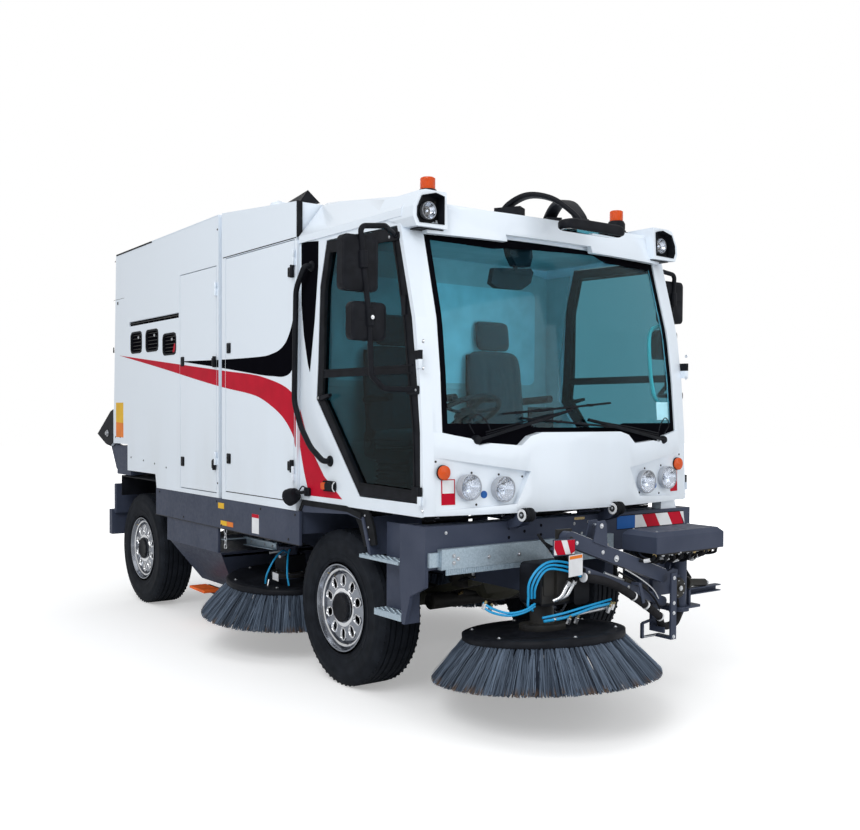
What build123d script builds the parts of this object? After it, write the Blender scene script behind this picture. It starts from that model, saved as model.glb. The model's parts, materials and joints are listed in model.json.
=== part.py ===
"""Street sweeper truck: cab, engine housing, tipping hopper, sweeping gear, wheels and axles.

Lengths are in mm.  X points to the vehicle's left, Y to its rear and Z up.  Sizes are laid out from the
point on the ground under the middle of the front axle.  At the end everything is moved along Y so that
the origin is at the middle of the whole machine, on the ground.
"""

from build123d import *

import json
import math
import os

# ---------------------------------------------------------------- driving dimensions
wheelbase = 3045
body_half = 1020          # half width of the hopper and the engine housing
cab_half = 1000           # half width of the cab
wall = 40                 # cab walls and doors
panel = 30                # hopper and engine housing walls and doors
sheet = 20                # sweeping gear's housing
door_gap = 6              # gap round each door
seat_gap = 0.3            # gap where a moving piece rests on its stop
fit = 0.06                # radial clearance of a running pin
arm_pin = 14              # radius of the pins in the brush arms
open_hole = 19            # radius of the hole at the open pivot of each lower link

tyre_radius = 447.5
tyre_width = 283
wheel_x = 800             # middle of each tyre
rim_radius = 250          # where the tyre's bead sits
flange_radius = 262
flange = 12               # thickness of a rim flange
rim_x = (668, 932)        # inner and outer side of a rim
stub_end = 880            # end of each stub axle
stub_radius = 32
kingpin_x = 740
kingpin_radius = 20
hub_z = tyre_radius

rail_x = (290, 360)       # frame rail, inner and outer side
rail_z = (620, 780)
base_z = 980              # top of the outriggers that carry the housing and the hopper
deck_z = 1030             # underside of the service doors
frame_end_y = wheelbase + 425

cab_floor_z = 1065
cab_floor = 40
cab_rear_y = 338
housing_y = (352, 1357)
hopper_front_y = 1409
hopper_tail_y = (wheelbase + 416, wheelbase + 338)   # rear face at the bottom and at the top
hopper_top_z = (2898, 2873)                          # at the front and at the tail
arch_y = (wheelbase - 510, wheelbase + 87)           # raised floor over the rear wheels
arch_z = (1085, 1300)                                # its height over and behind the wheels
pin_y, pin_z = wheelbase + 555, 1380                 # tipping pins
pin_radius = 25
post_y = (wheelbase + 155, wheelbase + 375)          # rear posts that carry the tipping pins

beam_z = (785, 1000)
beam_y = -915
beam_half = cab_half + 10

front_brush = (-370, -1080, 452)     # middle of the disc's top
front_brush_tilt = (-5.5, 0)         # turn about X and Y in degrees: its front edge stands high
side_brush = (660, 1070, 466)
side_brush_tilt = (3, 2)             # its front edge and its outer edge stand low
disc_radius, disc_height = 420, 30
tip_radius = 590
bristle_drop = 235                   # from the disc's top to the tips' plane

roller_y, roller_z, roller_radius, roller_shaft = 1980, 370, 190, 20

sides = (("right", -1), ("left", 1))


# ---------------------------------------------------------------- helpers
def block(x, y, z):
    """A box between two values on each axis."""
    low = [min(v) for v in (x, y, z)]
    size = [max(v) - min(v) for v in (x, y, z)]
    return Pos(*[a + b / 2 for a, b in zip(low, size)]) * Box(*size)


def prism_x(points, x):
    """A (y, z) outline pulled along X."""
    face = make_face(Polyline(*[(x[0], y, z) for y, z in points], close=True))
    return extrude(face, x[1] - x[0], dir=(1, 0, 0))


def prism_y(points, y):
    """An (x, z) outline pulled along Y."""
    face = make_face(Polyline(*[(x, y[0], z) for x, z in points], close=True))
    return extrude(face, y[1] - y[0], dir=(0, 1, 0))


def rod(start, end, radius):
    """A round bar from one point to another."""
    line = Vector(*end) - Vector(*start)
    return Plane(origin=start, z_dir=line) * Pos(0, 0, line.length / 2) * Cylinder(radius, line.length)


def bar_x(x, y, z, radius):
    """A round bar along X."""
    return rod((x[0], y, z), (x[1], y, z), radius)


def bar_y(x, y, z, radius):
    """A round bar along Y."""
    return rod((x, y[0], z), (x, y[1], z), radius)


def bar_z(x, y, z, radius):
    """A round bar along Z."""
    return rod((x, y, z[0]), (x, y, z[1]), radius)


def tube(points, radius, bend):
    """A bent round bar through the points."""
    path = FilletPolyline(*points, radius=bend)
    start = Plane(origin=points[0], z_dir=Vector(*points[1]) - Vector(*points[0]))
    return sweep(start * Circle(radius), path=path)


def joined(*solids):
    """Solids fused into one."""
    whole = solids[0]
    for solid in solids[1:]:
        whole = whole + solid
    return whole


def cut(solid, *tools):
    """A solid with other solids taken away."""
    for tool in tools:
        solid = solid - tool
    return solid


def on(side, solid):
    """A solid made for the left side, or its mirror image for the right."""
    return solid if side > 0 else mirror(solid, about=Plane.YZ)


def both(solid):
    """A left side solid and its mirror image."""
    return [solid, mirror(solid, about=Plane.YZ)]


def link(start, end, width, across):
    """A flat bar with round ends in the XZ plane, pins along Y.  across is its low and high Y."""
    (x0, z0), (x1, z1) = start, end
    length = math.hypot(x1 - x0, z1 - z0)
    angle = math.degrees(math.atan2(z1 - z0, x1 - x0))
    thick = across[1] - across[0]
    middle = Pos((x0 + x1) / 2, across[0] + thick / 2, (z0 + z1) / 2)
    plate = middle * Rot(0, -angle, 0) * Box(length, thick, width)
    return joined(plate, *[bar_y(x, across, z, width / 2) for x, z in (start, end)])


nodes = {}


def node(name, *solids):
    """Names the solids of one piece."""
    parts = []
    for solid in solids:
        parts.extend(solid if isinstance(solid, list) else [solid])
    nodes[name] = parts


# ---------------------------------------------------------------- chassis
outrigger_y = (410, 1280, 1470, 2400)      # front edge of each outrigger
outrigger = 60
outrigger_drop = 40
cab_leg_y = (210, 290)
cross_y = (-600, 560, 1400, 2380, wheelbase + 205)     # front edge of each cross member
cross = 80


def chassis_frame():
    """The two rails of the ladder frame."""
    return both(block(rail_x, (beam_y + 20, frame_end_y), rail_z))


def cross_bars():
    """Cross members between the rails, and the outriggers that carry the housing and the hopper."""
    reach = body_half - sheet
    member_z = (rail_z[0] + 20, rail_z[1] - 20)
    low = [block((-rail_x[0], rail_x[0]), (y, y + cross), member_z) for y in cross_y]
    carry_z = (base_z - outrigger_drop, base_z)
    high = [block((-reach, reach), (y, y + outrigger), carry_z) for y in outrigger_y]
    return low + high


def frame_legs():
    """Blocks on the rails that carry the outriggers and the back of the cab."""
    legs = []
    for y in outrigger_y:
        legs += both(block(rail_x, (y, y + outrigger), (rail_z[1], base_z - outrigger_drop)))
    return legs + both(block(rail_x, cab_leg_y, (rail_z[1], cab_floor_z)))


def rear_posts():
    """Posts, cross bar and ears that hold the tipping pins."""
    bar_z_range = (1040, 1140)
    post_x = (body_half - 140, body_half - panel)
    ear_x = (body_half - 70, body_half - panel)
    back = post_y[1]
    ear = ((back - 20, 1100), (back - 20, 1279), (back + 60, 1290), (back + 125, 1395), (pin_y, pin_z + 55),
           (pin_y + 55, pin_z), (pin_y + 40, pin_z - 50), (back + 50, 1080))
    left = [block(rail_x, post_y, (rail_z[1], bar_z_range[1])),
            block(post_x, (post_y[0] - 60, back + 35), (bar_z_range[0], arch_z[1] - 20)),
            prism_x(ear, ear_x),
            bar_x((ear_x[0] + 5, body_half), pin_y, pin_z, pin_radius)]
    pieces = [solid for piece in left for solid in both(piece)]
    return joined(block((-post_x[0], post_x[0]), post_y, bar_z_range), *pieces)


def axle_springs():
    """A pair of leaf spring packs that meet the rails' undersides."""
    low, high = hub_z + 40, rail_z[0]
    leaf = 30
    outline = ((-500, high), (-440, high), (-130, low + 45), (130, low + 45), (440, high), (500, high),
               (500, high - leaf), (140, low), (-140, low), (-500, high - leaf))
    return both(prism_x(outline, rail_x))


eye_radius = 28
eye_half = 50             # half height of the axle's kingpin eyes
ear_top = 100             # half height of the knuckle


def front_axle():
    """Beam with kingpin eyes, and its springs."""
    eye = bar_z(kingpin_x, 0, (hub_z - eye_half, hub_z + eye_half), eye_radius)
    beam = block((-kingpin_x, kingpin_x), (-35, 35), (hub_z - 40, hub_z + 40))
    bore = bar_z(kingpin_x, 0, (hub_z - ear_top, hub_z + ear_top), kingpin_radius + fit)
    return cut(joined(beam, *both(eye), *axle_springs()), *both(bore))


def rear_axle():
    """Axle tube with differential, brake drums, stubs and springs."""
    pieces = [bar_x((-790, 790), 0, hub_z, 55), bar_x((-120, 120), 0, hub_z, 165),
              bar_x((-stub_end, stub_end), 0, hub_z, stub_radius), bar_y(0, (-230, 0), hub_z, 70)]
    pieces += both(bar_x((600, 640), 0, hub_z, 150))
    return Pos(0, wheelbase, 0) * joined(*pieces, *axle_springs())


def knuckle():
    """Left steering knuckle: two ears, kingpin, back plate, stub and steering arm."""
    gap = 1
    plate_x = (kingpin_x + 34, kingpin_x + 60)
    low_arm = (hub_z - ear_top, hub_z - ear_top + 30)
    pieces = [bar_z(kingpin_x, 0, (hub_z - ear_top + 5, hub_z + ear_top - 5), kingpin_radius),
              block(plate_x, (-60, 60), (hub_z - ear_top, hub_z + ear_top)),
              bar_x((plate_x[1], stub_end), 0, hub_z, stub_radius),
              block((kingpin_x - 110, kingpin_x + 20), (20, 50), low_arm),
              block((kingpin_x - 110, kingpin_x - 80), (20, 190), low_arm)]
    for up in (1, -1):
        ear = (hub_z + up * (eye_half + gap), hub_z + up * ear_top)
        pieces.append(bar_z(kingpin_x, 0, ear, eye_radius))
        pieces.append(block((kingpin_x, plate_x[0] + 6), (-eye_radius, eye_radius), ear))
    return joined(*pieces)


def rim(y):
    """Left rim: barrel with flanges, domed disc with oval holes, hub and cap."""
    inner_x, outer_x = rim_x
    barrel = rim_radius - 15
    hub_radius, hub_back = 84, 830
    hand_holes, hole_ring, hole_radius, hole_reach = 10, 154, 21, 9
    outline = (
        (inner_x, barrel), (inner_x, flange_radius), (inner_x + flange, flange_radius),
        (inner_x + flange, rim_radius), (outer_x - flange, rim_radius), (outer_x - flange, flange_radius),
        (outer_x, flange_radius), (outer_x, rim_radius - 7), (stub_end, 226), (902, 190), (908, 112),
        (908, hub_radius), (outer_x - 4, hub_radius - 6), (outer_x - 4, 0), (stub_end + 6, 0),
        (stub_end + 6, stub_radius + fit), (hub_back, stub_radius + fit), (hub_back, hub_radius),
        (stub_end + 4, hub_radius + 4), (stub_end + 12, 112), (stub_end + 6, 186), (stub_end - 16, 220),
        (stub_end - 34, barrel))
    body = revolve(make_face(Polyline(*[(x, 0, r) for x, r in outline], close=True)), Axis.X)
    across = (hub_back + 20, outer_x + 1)
    ends = (hole_ring - hole_reach, hole_ring + hole_reach)
    hole = joined(block(across, (-hole_radius, hole_radius), ends),
                  *[bar_x(across, 0, z, hole_radius) for z in ends])
    body = cut(body, *[Rot(360 * n / hand_holes, 0, 0) * hole for n in range(hand_holes)])
    return Pos(0, y, hub_z) * body


def tyre(y):
    """Left tyre: a ring with rounded shoulders."""
    half = tyre_width / 2
    bead, lip = wheel_x - rim_x[0] - flange, flange_radius + seat_gap
    outline = ((-bead, rim_radius), (-bead, lip), (-bead - flange, lip), (-half + 4, 285), (-half, 340),
               (-half + 6, 400), (-half + 24, 436), (-half + 48, tyre_radius))
    points = [(wheel_x + x, 0, r) for x, r in outline]
    points += [(wheel_x - x, 0, r) for x, r in reversed(outline)]
    return Pos(0, y, hub_z) * revolve(make_face(Polyline(*points, close=True)), Axis.X)


# ---------------------------------------------------------------- front beam, steps and skirts
turret_x, turret_y, turret_pin = 620, -1150, 22
turret_z = (450, 810)            # underside of the lower flange and top of the upper one
turret_plate = 15
turret_half = 60
accessory_x, accessory_z, accessory_radius = (-460, -230), (914, 964), 7   # bolt holes in the beam
roller_x, cab_roller_y, cab_roller_z, cab_roller_radius = (290, 376), -848, 1037, 22
step_y = (-745, -730)            # plate in front of the treads
tread_x = (cab_half - 70, cab_half + 15)


def front_beam():
    """Folded front cross beam, step side plates, cab rollers and the turret's bracket."""
    low, high = beam_z
    thick = 20
    side_plate = ((-745, 490), (-722, 490), (-700, 700), (-700, high), (beam_y, high), (beam_y, 700),
                  (-790, 640))
    pieces = [block((-beam_half, beam_half), (beam_y, beam_y + thick), beam_z),
              block((-beam_half, beam_half), (beam_y, beam_y + 115), (high - 15, high))]
    post_x = (roller_x[0] + 25, roller_x[1] - 25)
    left = [prism_x(side_plate, (beam_half - 20, beam_half)),
            block((tread_x[0] - 15, beam_half), step_y, (490, high)),
            block((tread_x[0] - 15, tread_x[0]), (step_y[0], -470), (490, high - 15)),
            block(post_x, (cab_roller_y - 14, cab_roller_y + 14), (high - 15, cab_floor_z)),
            bar_x(roller_x, cab_roller_y, cab_roller_z, cab_roller_radius)]
    pieces += [solid for piece in left for solid in both(piece)]
    span = (turret_x - turret_half, turret_x + turret_half)
    for z in ((turret_z[1] - turret_plate, turret_z[1]), (turret_z[0], turret_z[0] + turret_plate)):
        pieces.append(block(span, (turret_y, beam_y), z))
        pieces.append(bar_z(turret_x, turret_y, z, turret_half))
    pieces.append(block(span, (beam_y - turret_plate, beam_y), turret_z))
    pieces.append(bar_z(turret_x, turret_y, turret_z, turret_pin))
    holes = [bar_y(x, (beam_y - 1, beam_y + thick + 1), z, accessory_radius)
             for x in accessory_x for z in accessory_z]
    return cut(joined(*pieces), *holes)


def underrun_bar():
    """Channel bar bolted to the front of the beam, with a lower lip."""
    x, y, z = (-934, 300), (beam_y - 35, beam_y), (beam_z[0], 888)
    metal = 6
    hollow = block(x, (y[0] + metal, y[1]), (z[0] + metal, z[1] - metal))
    return cut(block(x, y, z), hollow)


def cab_steps():
    """Two treads on each side."""
    treads = (("upper", (-694, -330), (785, 800)), ("lower", (-718, -475), (500, 530)))
    return [solid for _, y, z in treads for solid in both(block(tread_x, y, z))]


def side_skirts():
    """Folded skirts along both sides."""
    upper = block((body_half - 20, body_half), (310, arch_y[0] - 10), (775, base_z))
    lower = block((body_half - 30, body_half - 10), (sweep_y[0], sweep_y[1]), (sweep_z[1], 800))
    front = block((rail_x[1] + 220, body_half), (325, 345), (840, base_z))
    return both(joined(upper, lower, front))


# ---------------------------------------------------------------- main brush and rear end
sweep_y = (1440, 2330)           # housing over the main brush
sweep_z = (250, 600)
sweep_nose_y = 1812              # its front edge at the bottom
sweep_half = (body_half - 30, body_half - 320)       # half width at the top and at the bottom
shaft_half = sweep_half[1]


def sweep_form(inset):
    """The housing's outer form, or the same form with every wall moved in."""
    (front, back), (low, high) = sweep_y, sweep_z
    side_view = ((front + inset, high - inset), (back - inset, high - inset), (back - inset, low),
                 (sweep_nose_y + inset, low))
    wide, narrow = sweep_half[0] - inset, sweep_half[1] - inset
    front_view = ((-wide, high - inset), (wide, high - inset), (narrow, low), (-narrow, low))
    return prism_x(side_view, (-wide - 1, wide + 1)) & prism_y(front_view, (front - 1, back + 1))


def sweep_housing():
    """Tapered housing over the main brush, open at the bottom, on pads under the rails."""
    low = sweep_z[0]
    open_side = block((-body_half, body_half), (sweep_y[0] - 50, sweep_y[1] + 50), (low - 50, low + 30))
    shell = cut(sweep_form(0), sweep_form(sheet), open_side)
    pads = [solid for y in ((1620, 1700), (2220, 2300))
            for solid in both(block(rail_x, y, (sweep_z[1], rail_z[0])))]
    bearings = [solid & sweep_form(0)
                for solid in both(bar_x((shaft_half - 60, body_half), roller_y, roller_z, roller_shaft + 16))]
    bore = bar_x((-shaft_half - 1, shaft_half + 1), roller_y, roller_z, roller_shaft + fit)
    return cut(joined(shell, *pads, *bearings), bore)


def main_brush():
    """Roller brush on its shaft."""
    return joined(bar_x((80 - shaft_half, shaft_half - 80), roller_y, roller_z, roller_radius),
                  bar_x((-shaft_half, shaft_half), roller_y, roller_z, roller_shaft))


def mudguards():
    """Folded guard plates over the rear tyres, on brackets from the rails."""
    thick, top = 10, 1030
    front, back, hem = wheelbase - 480, wheelbase + 355, 860
    x = (wheel_x - 150, wheel_x + 175)
    outline = ((front, top - 55), (front + 60, top), (back, top), (back, hem), (back - thick, hem),
               (back - thick, top - thick), (front + 64, top - thick), (front + 8, top - 62))
    stay = block((rail_x[1], x[0] + thick), (wheelbase - 20, wheelbase + 20), (top - 35, top - thick / 2))
    post = block((rail_x[1], rail_x[1] + 20), (wheelbase - 20, wheelbase + 20), (rail_z[0] + 60, top - 35))
    return both(joined(prism_x(outline, x), stay, post))


def rear_bumper():
    """Rear bumper beam with side plates in front of it and stays to the rails."""
    y = (wheelbase + 515, wheelbase + 585)
    half = body_half - 20
    stay = block(rail_x, (frame_end_y, y[0]), (625, 720))
    plate = block((720, half - 20), (y[0] - 46, y[0]), (700, 950))
    return joined(block((-half, half), y, (514, 728)), *both(stay), *both(plate))


# ---------------------------------------------------------------- cab
front_line = (       # height, Y of the front corner: the cab leans back in four steps
    (1050, -900), (1467, -885), (1763, -860), (2043, -822), (2560, -680))
front_bulge = 80
corner_width, corner_depth = 60, 12
visor_line = ((2478, -752), (2640, -700))
fascia_line = ((1000, -902), (1500, -884))
fascia_bulge = front_bulge + 40
fascia_back_y = -866
reach = 1200              # longer than anything that a cutting shape has to pass through


def cab_form(line, inset=0, bulge=front_bulge, half=cab_half):
    """A cab form with a bowed front, lofted through the heights in line, its walls moved in by inset."""
    side = half - inset
    edge = side - corner_width
    sections = []
    for z, y in line:
        front = y + inset
        back = cab_rear_y - inset
        corner = front + corner_depth
        outline = [Line((-side, back, z), (-side, corner, z)), Line((-side, corner, z), (-edge, front, z)),
                   ThreePointArc((-edge, front, z), (0, front - bulge, z), (edge, front, z)),
                   Line((edge, front, z), (side, corner, z)), Line((side, corner, z), (side, back, z)),
                   Line((side, back, z), (-side, back, z))]
        sections.append(make_face(outline))
    return loft(sections, ruled=True)


door_outline = ((39, 2540), (111, 2283), (132, 1846), (147, 1640), (-309, 1110), (-860, 1110),
                (-855, 1467), (-822, 1763), (-782, 2043), (-650, 2520))
door_rail_z = 1785
hinge_x, hinge_y = cab_half + 14, -872
hinge_z = (1150, 1830)
hinge_height, hinge_radius, leaf = 45, 12, 7

glass_top_z = 2500
glass_half = cab_half - 110
fascia_top = (        # X, Z of the fascia's upper edge on one side, from the corner to the middle
    (cab_half + 30, 1470), (glass_half + 10, 1466), (735, 1436), (690, 1402), (620, 1412), (435, 1398),
    (375, 1447), (300, 1466))
lamp_panel = ((965, 1346), (380, 1262), (470, 1096), (930, 1076))     # X, Z of the panel round the head lamps


def windshield_window():
    """The space that the windshield fills, seen from the front."""
    edge = fascia_top[1:]
    low = [(x, z) for x, z in edge if x < glass_half]
    half_outline = [(glass_half - 12, glass_top_z), (glass_half, edge[0][1])] + low
    outline = half_outline + [(-x, z) for x, z in reversed(half_outline)]
    return prism_y(outline, (-reach, -560))


def fascia_zone():
    """The part of the cab's front below the glass."""
    edge = list(fascia_top)
    outline = [(cab_half + 30, 1000)] + edge + [(-x, z) for x, z in reversed(edge)] + [(-cab_half - 30, 1000)]
    return prism_y(outline, (-reach, fascia_back_y))


def hinge_barrel(z, leaf_end):
    """A cab door hinge barrel with a leaf that reaches to leaf_end along Y."""
    plate = block((cab_half, cab_half + leaf), (hinge_y, leaf_end), z)
    return joined(bar_z(hinge_x, hinge_y, z, hinge_radius), plate)


def door_slab(x, inset):
    """The door's outline as a slab between two X values, moved in by a margin."""
    face = make_face(Polyline(*[(min(x), y, z) for y, z in door_outline], close=True))
    if inset:
        face = offset(face, amount=-inset, kind=Kind.INTERSECTION)
    return extrude(face, max(x) - min(x), dir=(1, 0, 0))


def grab_handle():
    """Bent tube behind the left door."""
    out = cab_half + 50
    points = ((cab_half - 5, 200, 2411), (out, 200, 2411), (out, 300, 2285), (out, 318, 1627),
              (out, 240, 1480), (out, 130, 1365), (out, -10, 1290), (cab_half - 5, -10, 1290))
    return tube(points, 13, 30)


def cab_shell():
    """Cab walls with door openings and the windshield's opening, on a floor."""
    skin = cut(cab_form(front_line), cab_form(front_line, wall), windshield_window(), fascia_zone())
    opening = door_slab((cab_half - wall - 5, cab_half + 5), 0)
    skin = cut(skin, *both(opening))
    inside = cab_half - wall
    floor = block((-inside, inside), (-860, cab_rear_y - wall), (cab_floor_z, cab_floor_z + cab_floor))
    fixed_leaf = hinge_barrel((hinge_z[1] - hinge_height, hinge_z[1] - seat_gap), -828)
    return joined(skin, floor, *both(grab_handle()), *both(fixed_leaf))


def front_fascia():
    """Panel under the windshield: bowed in the middle, sunken round the head lamps."""
    shell = cut(cab_form(fascia_line, 0, fascia_bulge), cab_form(front_line, wall))
    body = shell & fascia_zone()
    sunken = cut(prism_y(lamp_panel, (-reach, fascia_back_y)), cab_form(front_line))
    body = cut(body, *both(sunken))
    body = cut(body, block((-reach, reach), (-reach, reach), (1000, front_line[0][0])))
    fixed_leaf = hinge_barrel((hinge_z[0] - hinge_height, hinge_z[0] - seat_gap), -897)
    return joined(body, *both(fixed_leaf))


def windshield():
    """Bowed pane."""
    return cut(cab_form(front_line, 12), cab_form(front_line, 20)) & windshield_window()


mirror_y = {"right": -750, "left": -550}      # the left mirror is swung back
mirror_tube = (144, 2487), (289, 2471), (271, 2288), (236, 2034), (221, 1747), (147, 1684)    # outward, Z
mirror_ends = (-630, 2466), (-805, 1678)                                          # Y, Z on the door
mirror_heads = (178, 388, 2158, 2429), (129, 336, 1920, 2108)      # outward and height of each head


def door_mirror(y):
    """Two mirror heads on a bent tube from the door's outer face."""
    first, last = [(cab_half - 10, end_y, z) for end_y, z in mirror_ends]
    pieces = [tube([first] + [(cab_half + out, y, z) for out, z in mirror_tube] + [last], 14, 30)]
    for near, far, low, high in mirror_heads:
        head = block((cab_half + near, cab_half + far), (y + 10, y + 55), (low, high))
        pieces.append(fillet(head.edges().filter_by(Axis.Y), 30))
    return pieces


def cab_door(side):
    """Left cab door frame with two window openings, carrying its mirror."""
    frame, rail = 55, 40
    x = (cab_half - wall, cab_half)
    split = block((x[0] - 2, x[1] + 2), (-900, 300), (door_rail_z - rail / 2, door_rail_z + rail / 2))
    opening = cut(door_slab((x[0] - 1, x[1] + 1), door_gap + frame), split)
    barrels = [hinge_barrel((z, z + hinge_height), hinge_y + 80) for z in hinge_z]
    return joined(cut(door_slab(x, door_gap), opening), *barrels, *door_mirror(mirror_y[side]))


def door_panes():
    """The two panes of the left door."""
    frame, rail = 55, 40
    x = (cab_half - 24, cab_half - 18)
    split = block((x[0] - 2, x[1] + 2), (-900, 300), (door_rail_z - rail / 2, door_rail_z + rail / 2))
    return cut(door_slab(x, door_gap + frame), split).solids()


roof_side = (         # Y, Z from the rear to the front edge and back underneath
    (cab_rear_y, 2822), (-187, 2745), (-565, 2690), (-720, 2650), (-760, 2600), (-700, 2560),
    (cab_rear_y, 2560))
pod_x = (790, cab_half + 8)


def cab_roof():
    """Wedge roof with a visor over the glass and a lamp pod at each front corner."""
    top, shoulder = 2850, 2600
    half = cab_half + 10
    front_view = ((-half, 2550), (half, 2550), (half, shoulder), (half - 150, top - 60), (half - 230, top),
                  (230 - half, top), (150 - half, top - 60), (-half, shoulder))
    wedge = prism_x(roof_side, (-half, half)) & prism_y(front_view, (-reach, 500))
    bowed = cab_form(((2540, -712), (2860, -690)), 0, front_bulge, half)
    visor = cut(cab_form(visor_line), cab_form(visor_line, 35))
    visor = visor & block((-half + 120, half - 120), (-reach, -560), (2400, 2700))
    arch = block((-400, 235), (-reach, -560), (2400, 2516))
    pod = prism_x(((-800, 2500), (-700, 2505), (-480, 2600), (-480, 2690), (-700, 2712), (-790, 2690)), pod_x)
    outline = ((790, 2500), (985, 2496), (1008, 2545), (1003, 2600), (965, 2680), (870, 2704), (790, 2690))
    pod = pod & prism_y(outline, (-reach, 0))
    inner = ((812, 2522), (968, 2518), (984, 2550), (980, 2596), (950, 2655), (868, 2676), (812, 2664))
    recess = prism_y(inner, (-reach, -745))
    roof = joined(wedge & bowed, cut(visor, arch), *both(cut(pod, recess)))
    return cut(roof, cab_form(front_line))


def dashboard():
    """Dash board, steering column and wheel."""
    half = cab_half - 120
    board = prism_x(((-840, 1105), (-560, 1105), (-600, 1330), (-640, 1390), (-840, 1395)), (-half, half))
    hub = (-400, -470, 1560)
    ring = Plane(origin=hub, z_dir=(0, 150, 260))
    return joined(board, rod((-400, -620, 1300), hub, 30), ring * Torus(200, 14), ring * Box(400, 40, 14))


def seats():
    """Driver's and passenger's seats on plinths."""
    found = []
    for x in (-400, 400):
        plinth = block((x - 180, x + 180), (-200, 200), (cab_floor_z + cab_floor, 1330))
        cushion = block((x - 240, x + 240), (-260, 230), (1330, 1470))
        back = prism_x(((130, 1470), (230, 1470), (285, 2160), (205, 2180), (130, 1700)), (x - 230, x + 230))
        found.append(joined(plinth, cushion, back))
    return found


# ---------------------------------------------------------------- engine housing
service_y = (370, 1300)
service_z = (deck_z, 2590)
housing_top = (2810, hopper_top_z[0])
side_hinge_x, side_hinge_radius, side_leaf = body_half + 12, 10, 6
service_hinge_y = 366
service_hinge_z = (1200, 2480)


def side_hinges(y, heights, leaf_y, above):
    """One half of a left side door's hinges: the fixed half below each height, or the door's above it."""
    found = []
    for height in heights:
        z = (height + seat_gap, height + hinge_height) if above else (height - hinge_height, height)
        found.append(bar_z(side_hinge_x, y, z, side_hinge_radius))
        found.append(block((body_half, body_half + side_leaf), (y, leaf_y), z))
    return found


def housing_profile(inset):
    """Side view of the engine housing."""
    front, rear = housing_y[0] + inset, housing_y[1] - inset
    return ((front, base_z + inset), (rear, base_z + inset), (rear, housing_top[1] - inset),
            (front, housing_top[0] - inset))


def engine_housing():
    """Hollow box with a large door opening on each side and an open floor round the engine."""
    inner = body_half - panel
    hollow = prism_x(housing_profile(panel), (-inner, inner))
    openings = block((-body_half - 1, body_half + 1), service_y, service_z)
    floor_hole = block((-600, 600), (500, 1200), (base_z - 80, base_z + 120))
    box = cut(prism_x(housing_profile(0), (-body_half, body_half)), hollow, openings, floor_hole)
    halves = side_hinges(service_hinge_y, service_hinge_z, service_hinge_y - 12, False)
    return joined(box, *[solid for half in halves for solid in both(half)])


def side_door(y, z, hinge_line, heights):
    """Left side door in its opening, hinged at its front edge."""
    leaf_y = (y[0] + door_gap, y[1] - door_gap)
    door = block((body_half - panel, body_half), leaf_y, (z[0] + door_gap, z[1] - door_gap))
    return joined(door, *side_hinges(hinge_line, heights, leaf_y[0] + 30, True))


def engine_block():
    """The engine as one plain block on the rails."""
    return block((-rail_x[1], rail_x[1]), (520, 1200), (rail_z[1], 1650))


# ---------------------------------------------------------------- hopper
hopper_door_y = (1440, 2060)
hopper_door_z = (1010, 2560)
hopper_hinge_y = 1436
hopper_hinge_z = (1250, 2400)
tail_half = body_half - 85
tail_z = (1570, 2810)
tail_pin_y, tail_pin_z, tail_pin_radius = wheelbase + 375, 2848, 18
tail_lug_x, lug_width = (-540, 500), 40           # low X of each fixed lug
vents = (             # front and rear Y, low and high Z of each square vent in the sides
    (2135, 2377, 1996, 2146), (2476, 2720, 2038, 2196), (2814, 3045, 2040, 2198))
slot_y, slot_z = (1440, 3082), (2255, 2292)


def tail_y(z):
    """Y of the hopper's rear face at a height."""
    share = (z - arch_z[1]) / (hopper_top_z[1] - arch_z[1])
    return hopper_tail_y[0] + share * (hopper_tail_y[1] - hopper_tail_y[0])


def hopper_outline(inset):
    """Side view of the hopper."""
    front, floor = hopper_front_y + inset, base_z + seat_gap + inset
    over, behind = arch_z[0] + inset, arch_z[1] + inset
    return ((front, hopper_top_z[0] - inset), (hopper_tail_y[1] - inset, hopper_top_z[1] - inset),
            (hopper_tail_y[0] - inset, behind), (arch_y[1] - inset, behind), (arch_y[1] - inset, over),
            (arch_y[0] - inset, over), (arch_y[0] - 25 - inset, floor), (front, floor))


def hopper_bracket():
    """Left plate with the tipping pin's eye, and the post beside the tail door."""
    back = hopper_tail_y[0]
    post = ((back - 131, 1330), (back - 2, arch_z[1] + 1), (tail_y(2700) - 2, 2700), (back - 131, 2700))
    plate = ((back - 61, 1302), (back - 61, 1600), (back + 66, 1567), (pin_y + 258, 1371), (pin_y + 40, 1290),
             (back + 69, 1274), (back + 9, 1302))
    return joined(prism_x(post, (tail_half + 3, body_half - 1)), prism_x(plate, (body_half - 24, body_half)))


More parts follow.
